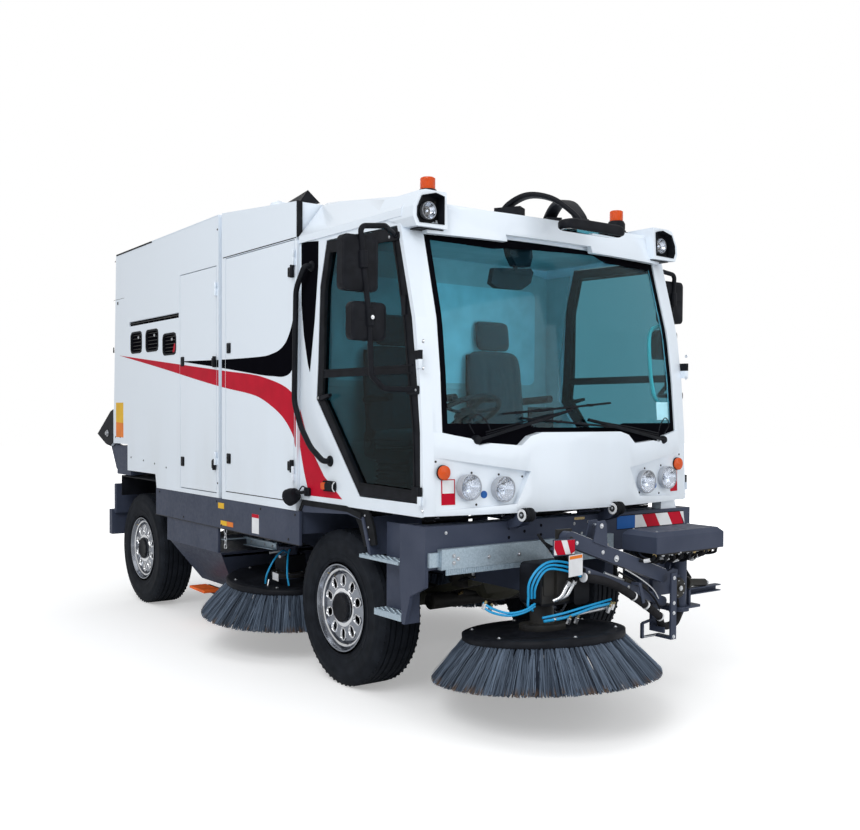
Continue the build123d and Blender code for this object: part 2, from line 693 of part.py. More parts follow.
def hopper_body():
    """Hollow hopper with vents, a slot, side door openings, a tail opening and the hinge brackets."""
    inner = body_half - panel
    half_skin = panel / 2
    outer = prism_x(hopper_outline(0), (-body_half, body_half))
    shell = cut(outer, prism_x(hopper_outline(panel), (-inner, inner)),
                block((-body_half - 1, body_half + 1), hopper_door_y, hopper_door_z),
                block((-tail_half, tail_half), (hopper_tail_y[1] - 83, hopper_tail_y[0] + 139), tail_z))
    shell = joined(shell, *both(hopper_bracket()))
    outside = (body_half - half_skin, body_half + 1)
    cuts = [block(outside, vent[:2], vent[2:]) for vent in vents]
    cuts.append(block((body_half - 12, body_half + 1), (hopper_door_y[1] + 20, slot_y[1]), slot_z))
    cuts.append(bar_x((body_half - panel, body_half + 1), pin_y, pin_z, pin_radius + fit))
    shell = cut(shell, *[solid for piece in cuts for solid in both(piece)])
    halves = side_hinges(hopper_hinge_y, hopper_hinge_z, hopper_hinge_y - 12, False)
    fixed = [solid for half in halves for solid in both(half)]
    for x in tail_lug_x:
        span = (x, x + lug_width)
        fixed.append(bar_x(span, tail_pin_y, tail_pin_z, tail_pin_radius))
        fixed.append(block(span, (tail_pin_y - 60, tail_pin_y), (2815, tail_pin_z)))
    return joined(shell, *fixed)


def tailgate():
    """Tail door, hinged above its top edge."""
    low, high = tail_z[0] + door_gap, tail_z[1] - door_gap
    thick = 50
    outline = ((tail_y(low) - thick, low), (tail_y(low), low), (tail_y(high), high),
               (tail_y(high) - thick, high))
    half = tail_half - door_gap
    pieces = [prism_x(outline, (-half, half))]
    back = tail_pin_y + tail_pin_radius
    strap = ((back - 58, 2700), (back, 2700), (back, tail_pin_z), (back - 43, tail_pin_z), (back - 43, high),
             (back - 58, high))
    for x in tail_lug_x:
        inward = x + lug_width if x < 0 else x - lug_width
        span = (inward + seat_gap, inward + lug_width - seat_gap)
        pieces.append(bar_x(span, tail_pin_y, tail_pin_z, tail_pin_radius))
        pieces.append(prism_x(strap, span))
    return joined(*pieces)


# ---------------------------------------------------------------- sweeping gear
def tilted(place, tilt, solid):
    """A solid made round the vertical axis, turned and moved so that its origin is at place."""
    return Pos(*place) * Rot(tilt[0], tilt[1], 0) * solid


def brush():
    """Disc brush with its top at the origin: a disc over a hollow cone of bristles."""
    depth = bristle_drop - disc_height / 2
    middle = -disc_height / 2 - depth / 2
    cone = Pos(0, 0, middle) * Cone(tip_radius, disc_radius - 20, depth)
    hollow = Pos(0, 0, middle - disc_height) * Cone(tip_radius - 110, disc_radius - 170, depth)
    disc = bar_z(0, 0, (-disc_height, 0), disc_radius)
    return joined(cut(cone, hollow), disc)


def brush_motor(height):
    """Motor flange and body that stand on a brush disc."""
    return joined(bar_z(0, 0, (seat_gap, 30), 120), bar_z(0, 0, (30, height), 62))


arm_x = (386, -330)             # pins of the front arm, turret end and brush end
arm_z = (680, 930)
link_drop = 140                 # the lower link's pins below the upper link's
arm_y = (-1240, -1190)
arm_plate_y = (-1185, -1165)    # plates behind the arm, on the turret and on the brush hub


def arm_pins(x, high):
    """Pins for the upper and the lower link."""
    return [bar_y(x, (arm_y[0], arm_plate_y[1]), z, arm_pin) for z in (high, high - link_drop)]


def front_turret():
    """Slewing turret with the plate that carries both links."""
    low, high = turret_z[0] + turret_plate, turret_z[1] - turret_plate
    sleeve = bar_z(turret_x, turret_y, (low + 1, high - 1), turret_pin + 23)
    web = block((arm_x[0] + 20, turret_x - 30), (arm_plate_y[0], turret_y + 30), (560, 660))
    plate = block((arm_x[0] - 28, arm_x[0] + 34), arm_plate_y, (370, 725))
    foot = block((arm_x[0] - 28, arm_x[0] - 16), (arm_plate_y[1] - 100, arm_plate_y[1]), (370, 400))
    body = joined(sleeve, web, plate, foot, *arm_pins(arm_x[0], arm_z[0]))
    return cut(body, bar_z(turret_x, turret_y, turret_z, turret_pin + fit))


def front_link_bar(drop, width, hole):
    """A link of the front arm with a hole at each end."""
    start, end = [(x, z - drop) for x, z in zip(arm_x, arm_z)]
    bores = [bar_y(x, (arm_y[0] - 1, arm_y[1] + 1), z, radius)
             for (x, z), radius in ((start, arm_pin + fit), (end, hole))]
    return cut(link(start, end, width, arm_y), *bores)


def front_hub():
    """Bracket on the front arm's end, with the brush motor."""
    x, y, z = front_brush
    plate = block((arm_x[1] - 40, arm_x[1] + 60), arm_plate_y, (640, 975))
    head = block((x - 90, x + 110), (arm_plate_y[1] - 1, y + 20), (600, 690))
    motor = tilted(front_brush, front_brush_tilt, brush_motor(190))
    return joined(plate, *arm_pins(arm_x[1], arm_z[1]), head, motor)


def valve_cover():
    """Box cover over the valves in front of the beam."""
    x, y, z = (200, 765), (-1345, -1100), (822, 935)
    cover = chamfer(block(x, y, z).edges().group_by(Axis.Z)[-1], 25)
    span = (turret_x - turret_half, turret_x + turret_half)
    tray = block(span, (y[1], beam_y), (turret_z[1], 850))
    foot = block(span, (y[1] - 60, y[1]), (turret_z[1], z[0] + 1))
    return joined(cover, tray, foot)


side_pivot_y = 1485
side_pivot_z = (735, 655)
side_arm_end_y, side_arm_rise = 1140, 60
side_arm_x = (660, 712)
bracket_x = (640, 720)          # low X of each plate of the arm's bracket
bracket_plate = 12
bracket_z = (625, 775)


def arm_bracket():
    """Left bracket on the rail with both pivot pins of the side brush arm."""
    y = (side_pivot_y - 20, side_pivot_y + 50)
    plates = [block((x, x + bracket_plate), y, bracket_z) for x in bracket_x]
    outer = bracket_x[1] + bracket_plate
    back = block((rail_x[1], outer), (y[1] - 20, y[1]), bracket_z)
    pins = [bar_x((bracket_x[0] + 2, outer - 2), side_pivot_y, z, arm_pin) for z in side_pivot_z]
    return joined(*plates, back, *pins)


def side_link_bar(z, width, hole):
    """A link of the left side arm from the frame to the brush hub."""
    x = side_arm_x
    start, end = (side_pivot_y, z), (side_arm_end_y, z + side_arm_rise)
    length = math.hypot(end[0] - start[0], end[1] - start[1])
    angle = math.degrees(math.atan2(end[1] - start[1], end[0] - start[0]))
    middle = Pos((x[0] + x[1]) / 2, (start[0] + end[0]) / 2, (start[1] + end[1]) / 2)
    bar = joined(middle * Rot(angle, 0, 0) * Box(x[1] - x[0], length, width),
                 *[bar_x(x, y, height, width / 2) for y, height in (start, end)])
    bores = [bar_x((x[0] - 1, x[1] + 1), y, height, radius)
             for (y, height), radius in ((start, arm_pin + fit), (end, hole))]
    return cut(bar, *bores)


def side_hub():
    """Left side brush hub: ears, pins and motor."""
    low, high = side_pivot_z[1] + side_arm_rise, side_pivot_z[0] + side_arm_rise
    x, y, z = side_brush
    ear_x = (side_arm_x[0] - 15, side_arm_x[1] + 5)
    ear = 10
    ear_y = (side_arm_end_y - 30, side_arm_end_y + 30)
    pieces = [block((ex, ex + ear), ear_y, (low - 60, high + 30)) for ex in ear_x]
    pieces += [bar_x((ear_x[0] + 5, ear_x[1] + 5), side_arm_end_y, height, arm_pin) for height in (low, high)]
    pieces.append(block((ear_x[0], ear_x[1] + ear), (y - 40, ear_y[1]), (low - 75, low - 50)))
    pieces.append(tilted(side_brush, side_brush_tilt, brush_motor(205)))
    return joined(*pieces)


# ---------------------------------------------------------------- lamps and mirrors
round_lamps = (       # distance from the cab's side, Y, height, radius of the lamps that look forward
    (112, -735, 2583, 38), (243, -942, 1191, 68), (453, -962, 1175, 68), (105, -910, 1267, 36))
beacon = (731, -550, 2690)
tail_lamp_x, tail_lamp_z = (780, 900), 620


def lamps():
    """Beacons, roof work lamps, head lamps, indicators and tail lamps."""
    x, y, z = beacon
    found = [joined(bar_z(x, y, (z - 30, z + 60), 62), bar_z(x, y, (z + 60, z + 130), 42))]
    for inward, y, z, radius in round_lamps:
        found.append(bar_y(cab_half - inward, (y - 18, y + 24), z, radius))
    back = wheelbase + 585
    found += [bar_y(x, (back, back + 20), tail_lamp_z, 50) for x in tail_lamp_x]
    return [solid for lamp in found for solid in both(lamp)]


arm_band = 28            # thickness of the flat arms that hold the mirror over the windshield
pad_hinge = (-30, -1000)
pad_arm_starts = ((-263, -600), (190, -500))


def screen_mirror():
    """Mirror over the windshield on two arched arms from the roof."""
    arms = []
    for x, y in pad_arm_starts:
        across, along = pad_hinge[0] - x, y - pad_hinge[1]
        length = math.hypot(across, along)
        top = ((0, 2640), (0.1, 2725), (0.35, 2775), (0.65, 2745), (0.9, 2655), (1, 2580))
        outer = [(-share * length, z) for share, z in top]
        inner = [(min(y + 0.3 * arm_band, -arm_band) if share > 0.5 else y - arm_band, z - arm_band)
                 for (share, z), (y, _) in zip(top, outer)]
        band = prism_x(outer + inner[::-1], (-30, 30))
        arms.append(Pos(x, y, 0) * Rot(0, 0, math.degrees(math.atan2(across, along))) * band)
    pad = block((-220, 240), (-1085, -985), (2535, 2590))
    return joined(*arms, fillet(pad.edges().filter_by(Axis.Z), 35))


# ---------------------------------------------------------------- the machine
def build():
    """Names every piece."""
    shell, roof, fascia = cab_shell(), cab_roof(), front_fascia()
    single = (
        ("chassis_frame", chassis_frame()), ("frame_legs", frame_legs()), ("cross_bars", cross_bars()),
        ("rear_posts", rear_posts()), ("arm_brackets", both(arm_bracket())),
        ("front_axle", front_axle()), ("rear_axle", rear_axle()), ("front_beam", front_beam()),
        ("underrun_bar", underrun_bar()), ("cab_steps", cab_steps()), ("side_skirts", side_skirts()),
        ("sweep_housing", sweep_housing()), ("mudguards", mudguards()), ("rear_bumper", rear_bumper()),
        ("cab_shell", shell), ("front_fascia", fascia), ("windshield", windshield()), ("cab_roof", roof),
        ("dashboard", dashboard()), ("seats", seats()), ("engine_block", engine_block()),
        ("engine_housing", engine_housing()), ("valve_cover", valve_cover()),
        ("lamps", [cut(lamp, roof, fascia) for lamp in lamps()]),
        ("screen_mirror", cut(screen_mirror(), roof)),
        ("hopper_body", hopper_body()), ("tailgate", tailgate()), ("main_brush", main_brush()),
        ("front_turret", front_turret()), ("front_arm", front_link_bar(0, 76, arm_pin + fit)),
        ("front_link", front_link_bar(link_drop, 50, open_hole)), ("front_hub", front_hub()),
        ("front_brush", tilted(front_brush, front_brush_tilt, brush())))
    for name, solids in single:
        node(name, solids)
    paired = (
        ("door_glass_", list(door_panes())),
        ("service_door_", side_door(service_y, service_z, service_hinge_y, service_hinge_z)),
        ("hopper_door_", side_door(hopper_door_y, hopper_door_z, hopper_hinge_y, hopper_hinge_z)),
        ("knuckle_", knuckle()), ("side_arm_", side_link_bar(side_pivot_z[0], 44, arm_pin + fit)),
        ("side_link_", side_link_bar(side_pivot_z[1], 36, open_hole)), ("side_hub_", side_hub()),
        ("side_brush_", tilted(side_brush, side_brush_tilt, brush())))
    for name, solids in paired:
        for side, sign in sides:
            pieces = solids if isinstance(solids, list) else [solids]
            node(name + side, [on(sign, solid) for solid in pieces])
    for side, sign in sides:
        node("cab_door_" + side, on(sign, cab_door(side)))
        for place, y in (("front", 0), ("rear", wheelbase)):
            node(f"rim_{place}_{side}", on(sign, rim(y)))
            node(f"tyre_{place}_{side}", on(sign, tyre(y)))


def save():
    """Moves everything so that the origin is at the middle of the base, and writes one file per piece."""
    boxes = [solid.bounding_box() for parts in nodes.values() for solid in parts]
    middle_y = (min(b.min.Y for b in boxes) + max(b.max.Y for b in boxes)) / 2
    os.makedirs("parts", exist_ok=True)
    for name, parts in nodes.items():
        solids = [Pos(0, -middle_y, 0) * s for part in parts for s in part.solids()]
        shape = solids[0] if len(solids) == 1 else Compound(children=solids)
        export_step(shape, f"parts/{name}.step")
    print(json.dumps({"middle_y": middle_y, "nodes": len(nodes)}))


build()
save()
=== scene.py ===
import json
import math
import random

import bmesh
import bpy
from mathutils import Matrix, Vector


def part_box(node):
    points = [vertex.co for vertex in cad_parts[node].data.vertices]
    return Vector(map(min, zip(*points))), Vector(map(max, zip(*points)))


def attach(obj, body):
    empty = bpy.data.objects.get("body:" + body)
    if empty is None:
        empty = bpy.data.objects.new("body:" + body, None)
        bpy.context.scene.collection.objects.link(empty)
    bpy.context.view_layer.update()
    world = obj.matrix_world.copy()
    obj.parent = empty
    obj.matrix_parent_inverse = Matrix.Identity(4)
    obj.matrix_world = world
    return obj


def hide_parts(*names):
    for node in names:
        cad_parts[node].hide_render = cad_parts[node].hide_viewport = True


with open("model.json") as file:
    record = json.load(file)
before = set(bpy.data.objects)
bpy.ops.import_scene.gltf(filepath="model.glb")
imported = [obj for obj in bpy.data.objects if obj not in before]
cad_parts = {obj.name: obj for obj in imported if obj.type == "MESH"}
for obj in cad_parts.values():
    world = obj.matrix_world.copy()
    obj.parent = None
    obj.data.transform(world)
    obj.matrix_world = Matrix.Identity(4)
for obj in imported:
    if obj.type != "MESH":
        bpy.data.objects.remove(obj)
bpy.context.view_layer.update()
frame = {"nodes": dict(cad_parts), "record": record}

nodes = frame["nodes"]
record = frame["record"]
slot_of = {part["node"]: part["material_slot"] for part in record["subparts"]}
sides = (("right", -1), ("left", 1))

# Places are measured from the point on the ground under the middle of the front axle, as in the model.
axle_low, axle_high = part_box("rim_front_right")
axle_y = (axle_low.y + axle_high.y) / 2
wheelbase = 3.045
hub_z = 0.4475
side_x = 1.020          # outer face of the engine housing, hopper and skirts
cab_x = 1.000           # outer face of the cab's sides
bar_y = -0.950          # front face of the bar under the beam
beam_y = -0.915         # front face of the beam
arm_y = -1.240          # front face of the front arm
bumper_y = 3.630        # rear face of the bumper
outward, forward, backward, upward = (1, 0, 0), (0, -1, 0), (0, 1, 0), (0, 0, 1)


def at(x, y, z):
    """A point measured from the front axle, in the row frame."""
    return Vector((x, y + axle_y, z))


# ---------------------------------------------------------------- camera, floor and light
image_width, image_height = 860, 830
focal_px = 998.0
centre_px = (401.9, 442.6)          # where the camera's axis meets the image
camera_place = (-3.9595, -4.8267, 1.5614)
camera_yaw, camera_pitch, camera_roll = 35.652, -1.672, 0.277


def make_camera():
    """The scene's camera, with its off-centre frame."""
    sensor = 36.0
    far_limit = 200
    data = bpy.data.cameras.new("camera")
    data.sensor_width = sensor
    data.lens = focal_px * sensor / image_width
    data.shift_x = (image_width / 2 - centre_px[0]) / image_width
    data.shift_y = (centre_px[1] - image_height / 2) / image_width
    data.clip_end = far_limit
    camera = bpy.data.objects.new("camera", data)
    bpy.context.scene.collection.objects.link(camera)
    yaw, pitch, roll = (math.radians(v) for v in (camera_yaw, camera_pitch, camera_roll))
    forward = Vector((math.sin(yaw) * math.cos(pitch), math.cos(yaw) * math.cos(pitch), math.sin(pitch)))
    right = Vector((math.cos(yaw), -math.sin(yaw), 0))
    up = right.cross(forward)
    tilted_right = right * math.cos(roll) + up * math.sin(roll)
    tilted_up = tilted_right.cross(forward)
    turn = Matrix((tilted_right, tilted_up, -forward)).transposed().to_4x4()
    camera.matrix_world = Matrix.Translation(at(*camera_place)) @ turn
    bpy.context.scene.camera = camera


def seen_rays(tree):
    """A value that is 1 for the rays that see the background: camera and transmission rays."""
    path = tree.nodes.new("ShaderNodeLightPath")
    most = tree.nodes.new("ShaderNodeMath")
    most.operation = "MAXIMUM"
    tree.links.new(path.outputs["Is Camera Ray"], most.inputs[0])
    tree.links.new(path.outputs["Is Transmission Ray"], most.inputs[1])
    return most.outputs[0]


def make_world():
    """A white background with a softer light on the object."""
    light_level = 0.56
    world = bpy.data.worlds.new("world")
    bpy.context.scene.world = world
    world.use_nodes = True
    tree = world.node_tree
    level = tree.nodes.new("ShaderNodeMapRange")
    tree.links.new(seen_rays(tree), level.inputs["Value"])
    level.inputs["To Min"].default_value = light_level
    background = tree.nodes["Background"]
    background.inputs["Color"].default_value = (1, 1, 1, 1)
    tree.links.new(level.outputs["Result"], background.inputs["Strength"])


def make_floor():
    """A pale floor that keeps the object's shadow."""
    glow = (0.34, 1.0)               # near the object and far from it
    near, far = 3.0, 10.0
    floor_size = 80
    pale = (0.86, 0.87, 0.88, 1)
    bpy.ops.mesh.primitive_plane_add(size=floor_size)
    floor = bpy.context.object
    floor.name = "floor"
    mat = bpy.data.materials.new("floor")
    mat.use_nodes = True
    tree = mat.node_tree
    bsdf = tree.nodes["Principled BSDF"]
    bsdf.inputs["Base Color"].default_value = pale
    bsdf.inputs["Roughness"].default_value = 0.9
    bsdf.inputs["Specular IOR Level"].default_value = 0
    bsdf.inputs["Emission Color"].default_value = (1, 1, 1, 1)
    times = tree.nodes.new("ShaderNodeMath")
    times.operation = "MULTIPLY"
    tree.links.new(seen_rays(tree), times.inputs[0])
    away = tree.nodes.new("ShaderNodeVectorMath")
    away.operation = "LENGTH"
    tree.links.new(tree.nodes.new("ShaderNodeTexCoord").outputs["Object"], away.inputs[0])
    rise = tree.nodes.new("ShaderNodeMapRange")
    rise.interpolation_type = "SMOOTHSTEP"
    tree.links.new(away.outputs["Value"], rise.inputs["Value"])
    for name, value in zip(("From Min", "From Max", "To Min", "To Max"), (near, far, *glow)):
        rise.inputs[name].default_value = value
    tree.links.new(rise.outputs["Result"], times.inputs[1])
    tree.links.new(times.outputs[0], bsdf.inputs["Emission Strength"])
    floor.data.materials.append(mat)


lights = (            # name, place, size, power
    ("key", (-7.5, -5.5, 7.5), 5, 400),
    ("front", (2.5, -8, 3.5), 5, 105),
    ("top", (0, 0, 9), 8, 165),
    ("rear", (5, 8, 5), 5, 120),
)


def make_lights():
    """Large soft lamps that face the object."""
    for name, place, size, power in lights:
        data = bpy.data.lights.new(name, "AREA")
        data.size, data.energy = size, power
        lamp = bpy.data.objects.new(name, data)
        bpy.context.scene.collection.objects.link(lamp)
        lamp.location = place
        lamp.rotation_mode = "QUATERNION"
        lamp.rotation_quaternion = (Vector((0, 0, 1)) - Vector(place)).to_track_quat("-Z", "Y")
    bpy.context.scene.view_settings.view_transform = "Standard"


make_camera()
make_world()
make_floor()
make_lights()


# ---------------------------------------------------------------- materials
class Paint:
    """A Principled material with helpers for procedural detail."""

    def __init__(self, name, colour, roughness, **values):
        self.mat = bpy.data.materials.new(name)
        self.mat.use_nodes = True
        self.tree = self.mat.node_tree
        self.bsdf = self.tree.nodes["Principled BSDF"]
        self.colour = (*colour, 1)
        self.bsdf.inputs["Base Color"].default_value = self.colour
        self.bsdf.inputs["Roughness"].default_value = roughness
        for key, value in values.items():
            self.bsdf.inputs[key.replace("_", " ")].default_value = value
        self.place = self.tree.nodes.new("ShaderNodeTexCoord").outputs["Object"]

    def node(self, kind, inputs=(), **values):
        made = self.tree.nodes.new("ShaderNode" + kind)
        for key, value in values.items():
            setattr(made, key, value)
        for key, value in dict(inputs).items():
            if hasattr(value, "links"):
                self.tree.links.new(value, made.inputs[key])
            else:
                made.inputs[key].default_value = value
        return made

    def link(self, output, name):
        self.tree.links.new(output, self.bsdf.inputs[name])

    def stretched(self, scale):
        return self.node("Mapping", {"Vector": self.place, "Scale": scale}).outputs["Vector"]

    def noise(self, scale, detail=3.0, place=None):
        return self.node("TexNoise", {"Vector": place or self.place, "Scale": scale,
                                      "Detail": detail}).outputs["Fac"]

    def cells(self, scale, output="Color", feature="F1"):
        return self.node("TexVoronoi", {"Vector": self.place, "Scale": scale},
                         feature=feature).outputs[output]

    def spread(self, value, low, high, start=0.3, end=0.7):
        return self.node("MapRange", {"Value": value, "From Min": start, "From Max": end, "To Min": low,
                                      "To Max": high}).outputs["Result"]

    def mix(self, factor, first, second):
        made = self.node("Mix", {"Factor": factor}, data_type="RGBA")
        for index, value in ((6, first), (7, second)):
            if hasattr(value, "links"):
                self.tree.links.new(value, made.inputs[index])
            else:
                made.inputs[index].default_value = (*value[:3], 1)
        return made.outputs[2]

    def bump(self, height, strength, distance=0.001):
        made = self.node("Bump", {"Height": height, "Strength": strength, "Distance": distance})
        self.link(made.outputs["Normal"], "Normal")
        return self

    def tone(self, other, scale, start=0.35, end=0.7, place=None):
        """Lets a second colour show in patches."""
        factor = self.spread(self.noise(scale, 4.0, place), 0, 1, start, end)
        self.link(self.mix(factor, self.colour, other), "Base Color")
        return self


def body_paint(name, colour, dust):
    """Clear-coated paint with fine orange peel, and a little road dust towards the bottom."""
    paint = Paint(name, colour, 0.34, Coat_Weight=0.5, Coat_Roughness=0.06, Specular_IOR_Level=0.4)
    height = paint.node("SeparateXYZ", {"Vector": paint.place}).outputs["Z"]
    low = paint.spread(height, 0.35, 0.0, 0.9, 1.7)
    patches = paint.spread(paint.noise(3.0, 5.0, paint.stretched((1, 1, 0.25))), 0, 1, 0.4, 0.75)
    amount = paint.node("Math", {0: low, 1: patches}, operation="MULTIPLY").outputs[0]
    paint.link(paint.mix(amount, colour, dust), "Base Color")
    paint.bump(paint.noise(260.0, 2.0), 0.04)
    return paint.mat


def satin_paint(name, colour, other):
    """Satin chassis paint, slightly uneven in tone and gloss."""
    paint = Paint(name, colour, 0.42, Specular_IOR_Level=0.16)
    paint.tone(other, 5.0)
    paint.link(paint.spread(paint.noise(40.0), 0.34, 0.52), "Roughness")
    paint.bump(paint.noise(320.0, 2.0), 0.08)
    return paint.mat


def plastic(name, colour, roughness, grain=900.0, strength=0.2, shine=0.12):
    """Moulded plastic or rubber with a fine grain."""
    paint = Paint(name, colour, roughness, Specular_IOR_Level=shine)
    paint.tone([c * 1.6 + 0.002 for c in colour], 14.0)
    paint.bump(paint.cells(grain, "Distance"), strength, 0.0005)
    return paint.mat


def galvanised(name):
    """Zinc with its crystal spangle."""
    paint = Paint(name, (0.42, 0.52, 0.60), 0.42, Metallic=0.55)
    spangle = paint.node("SeparateXYZ", {"Vector": paint.cells(150.0)}).outputs["X"]
    paint.link(paint.mix(spangle, (0.36, 0.46, 0.54), (0.48, 0.58, 0.66)), "Base Color")
    paint.link(paint.spread(spangle, 0.36, 0.48, 0, 1), "Roughness")
    paint.bump(paint.noise(60.0), 0.08)
    return paint.mat


def metal(name, colour, roughness, brushed=(1, 1, 1), strength=0.05):
    """Bare metal with brushing along one direction."""
    paint = Paint(name, colour, roughness, Metallic=1.0)
    lines = paint.noise(120.0, 4.0, paint.stretched(brushed))
    paint.link(paint.spread(lines, roughness * 0.7, roughness * 1.5), "Roughness")
    paint.bump(lines, strength)
    return paint.mat


def glass(name, tint, shadow, roughness=0.0, ior=1.45):
    """Tinted glass whose shadow is only tinted."""
    paint = Paint(name, tint, roughness, Transmission_Weight=1.0, IOR=ior)
    clear = paint.node("BsdfTransparent", {"Color": (*shadow, 1)})
    path = paint.node("LightPath")
    both = paint.node("MixShader", {0: path.outputs["Is Shadow Ray"], 1: paint.bsdf.outputs[0],
                                    2: clear.outputs[0]})
    output = paint.tree.nodes["Material Output"]
    paint.tree.links.new(both.outputs[0], output.inputs["Surface"])
    return paint.mat


def lens(name, colour, cell=220.0):
    """Coloured lamp plastic with small prisms."""
    paint = Paint(name, colour, 0.15, Transmission_Weight=0.15, Coat_Weight=0.2, Specular_IOR_Level=0.25,
                  IOR=1.45)
    paint.bump(paint.cells(cell, "Distance"), 0.5, 0.001)
    return paint.mat


def cloth(name, colour, other):
    """Woven seat cloth."""
    paint = Paint(name, colour, 0.85, Sheen_Weight=0.3, Specular_IOR_Level=0.2)
    paint.tone(other, 60.0)
    weave = [paint.node("TexWave", {"Vector": paint.place, "Scale": 160.0},
                        bands_direction=way).outputs["Fac"] for way in "XZ"]
    crossed = paint.node("Math", {0: weave[0], 1: weave[1]}, operation="MULTIPLY").outputs[0]
    paint.bump(crossed, 0.4, 0.001)
    return paint.mat


def plain(name, colour, roughness=0.4, shine=0.2):
    """Printed film or sticker."""
    paint = Paint(name, colour, roughness, Specular_IOR_Level=shine)
    paint.tone([c * 0.86 for c in colour], 9.0)
    paint.bump(paint.noise(90.0), 0.03)
    return paint.mat


def bristle_material(name):
    """Bristles: blue-grey in tones from near black to light, partly their own random tone and partly
    painted shade of the gaps and painted highlight of the streaks, with worn brown tips.
    """
    paint = Paint(name, (0.085, 0.105, 0.15), 0.55, Specular_IOR_Level=0.15)
    attribute = paint.node("Attribute", attribute_name="along")
    along = paint.node("SeparateColor", {"Color": attribute.outputs["Color"]})
    # The bristles' tones run from near black to light blue-grey: random tone, and also painted shade and
    # painted highlight.
    tone_and_painted_light = paint.mix(along.outputs["Green"], (0.008, 0.013, 0.024), (0.140, 0.185, 0.255))
    tip = paint.spread(along.outputs["Red"], 0.0, 1.0, 0.86, 1.0)
    brown = paint.spread(along.outputs["Blue"], 0.0, 1.0, 0.62, 0.95)
    amount = paint.node("Math", {0: tip, 1: brown}, operation="MULTIPLY").outputs[0]
    paint.link(paint.mix(amount, tone_and_painted_light, (0.12, 0.075, 0.045)), "Base Color")
    return paint.mat


MAT = {
    "white_paint": body_paint("white_paint", (0.79, 0.87, 0.96), (0.55, 0.57, 0.57)),
    "grey_paint": satin_paint("grey_paint", (0.043, 0.054, 0.088), (0.056, 0.068, 0.106)),
    "black_plastic": plastic("black_plastic", (0.006, 0.007, 0.010), 0.5),
    "galvanised_steel": galvanised("galvanised_steel"),
    "tinted_glass": glass("tinted_glass", (0.44, 0.82, 0.92), (0.80, 0.95, 1.0), ior=1.22),
    "lamp_lens": lens("lamp_lens", (0.82, 0.12, 0.01)),
    "seat_cloth": cloth("seat_cloth", (0.030, 0.038, 0.048), (0.055, 0.065, 0.080)),
    "bristle": bristle_material("bristle"),
    "polished_alloy": metal("polished_alloy", (0.30, 0.32, 0.36), 0.16),
    "tyre_rubber": plastic("tyre_rubber", (0.008, 0.010, 0.014), 0.62, 260.0, 0.25, 0.08),
    "door_glass": glass("door_glass", (0.11, 0.23, 0.26), (0.20, 0.32, 0.35), ior=1.2),
    "clear": glass("clear", (0.95, 0.97, 1.0), (0.9, 0.92, 0.95)),
    "mirror": metal("mirror", (0.80, 0.84, 0.86), 0.03, strength=0.0),
    "chrome": metal("chrome", (0.86, 0.87, 0.89), 0.07, strength=0.0),
    "steel": metal("steel", (0.52, 0.54, 0.57), 0.34, (1, 8, 1)),
    "bright_steel": metal("bright_steel", (0.70, 0.72, 0.75), 0.28, (6, 1, 1)),
    "dark_steel": satin_paint("dark_steel", (0.022, 0.023, 0.026), (0.040, 0.038, 0.034)),
    "axle_green": satin_paint("axle_green", (0.050, 0.052, 0.038), (0.085, 0.082, 0.060)),
    "red_film": plain("red_film", (0.52, 0.003, 0.024), 0.45, 0.1),
    "black_film": plain("black_film", (0.004, 0.004, 0.006), 0.45, 0.0),
    "yellow_film": plain("yellow_film", (0.85, 0.50, 0.02)),
    "orange_film": plain("orange_film", (0.85, 0.22, 0.02)),
    "white_film": plain("white_film", (0.82, 0.84, 0.87)),
    "blue_film": plain("blue_film", (0.02, 0.13, 0.45)),
    "rubber": plastic("rubber", (0.008, 0.009, 0.011), 0.7, 420.0, 0.3),
    "foam": plastic("foam", (0.014, 0.014, 0.016), 0.85, 700.0, 0.5),
    "blue_hose": plain("blue_hose", (0.010, 0.36, 0.72), 0.35, 0.4),
    "lining": plain("lining", (0.55, 0.62, 0.65), 0.6, 0.1),
    "rear_pane": plain("rear_pane", (0.60, 0.84, 0.92), 0.3, 0.1),
    "lamp_rim": plain("lamp_rim", (0.42, 0.45, 0.50), 0.3, 0.3),
    "lamp_bowl": metal("lamp_bowl", (0.50, 0.53, 0.58), 0.12, strength=0.02),
    "brass": metal("brass", (0.52, 0.40, 0.20), 0.3),
    "amber": lens("amber", (0.80, 0.095, 0.006)),
    "red_lens": lens("red_lens", (0.65, 0.02, 0.01)),
    "grey_plastic": plastic("grey_plastic", (0.060, 0.068, 0.080), 0.5),
    "orange_plastic": plastic("orange_plastic", (0.75, 0.13, 0.02), 0.5),
    "teal_tube": plain("teal_tube", (0.10, 0.42, 0.42), 0.3),
    "piping": plastic("piping", (0.020, 0.024, 0.030), 0.6, 500.0, 0.3),
    "display": plain("display", (0.012, 0.020, 0.026), 0.12),
}

special = {"door_glass_right": "door_glass", "door_glass_left": "door_glass", "engine_block": "dark_steel",
           "rear_axle": "dark_steel", "front_axle": "axle_green", "mudguards": "black_plastic",
           "side_arm_right": "galvanised_steel", "side_arm_left": "galvanised_steel",
           "front_hub": "dark_steel"}
plain_edges = ("front_arm", "front_link")
bevels = {"white_paint": 0.006, "grey_paint": 0.004, "black_plastic": 0.004, "galvanised_steel": 0.0015}


def dress_cad():
    """Gives every CAD node its material, and softens its edges."""
    for name, obj in nodes.items():
        slot = slot_of[name]
        obj.data.materials.clear()
        obj.data.materials.append(MAT[special.get(name, slot)])
        if slot in bevels and name not in plain_edges:
            weld = obj.modifiers.new("weld", "WELD")
            weld.merge_threshold = 0.00002
            bevel = obj.modifiers.new("bevel", "BEVEL")
            bevel.width = bevels[slot]
            bevel.segments = 2
            bevel.limit_method = "ANGLE"
            bevel.angle_limit = math.radians(40)
            bevel.use_clamp_overlap = True
            bevel.harden_normals = True


dress_cad()


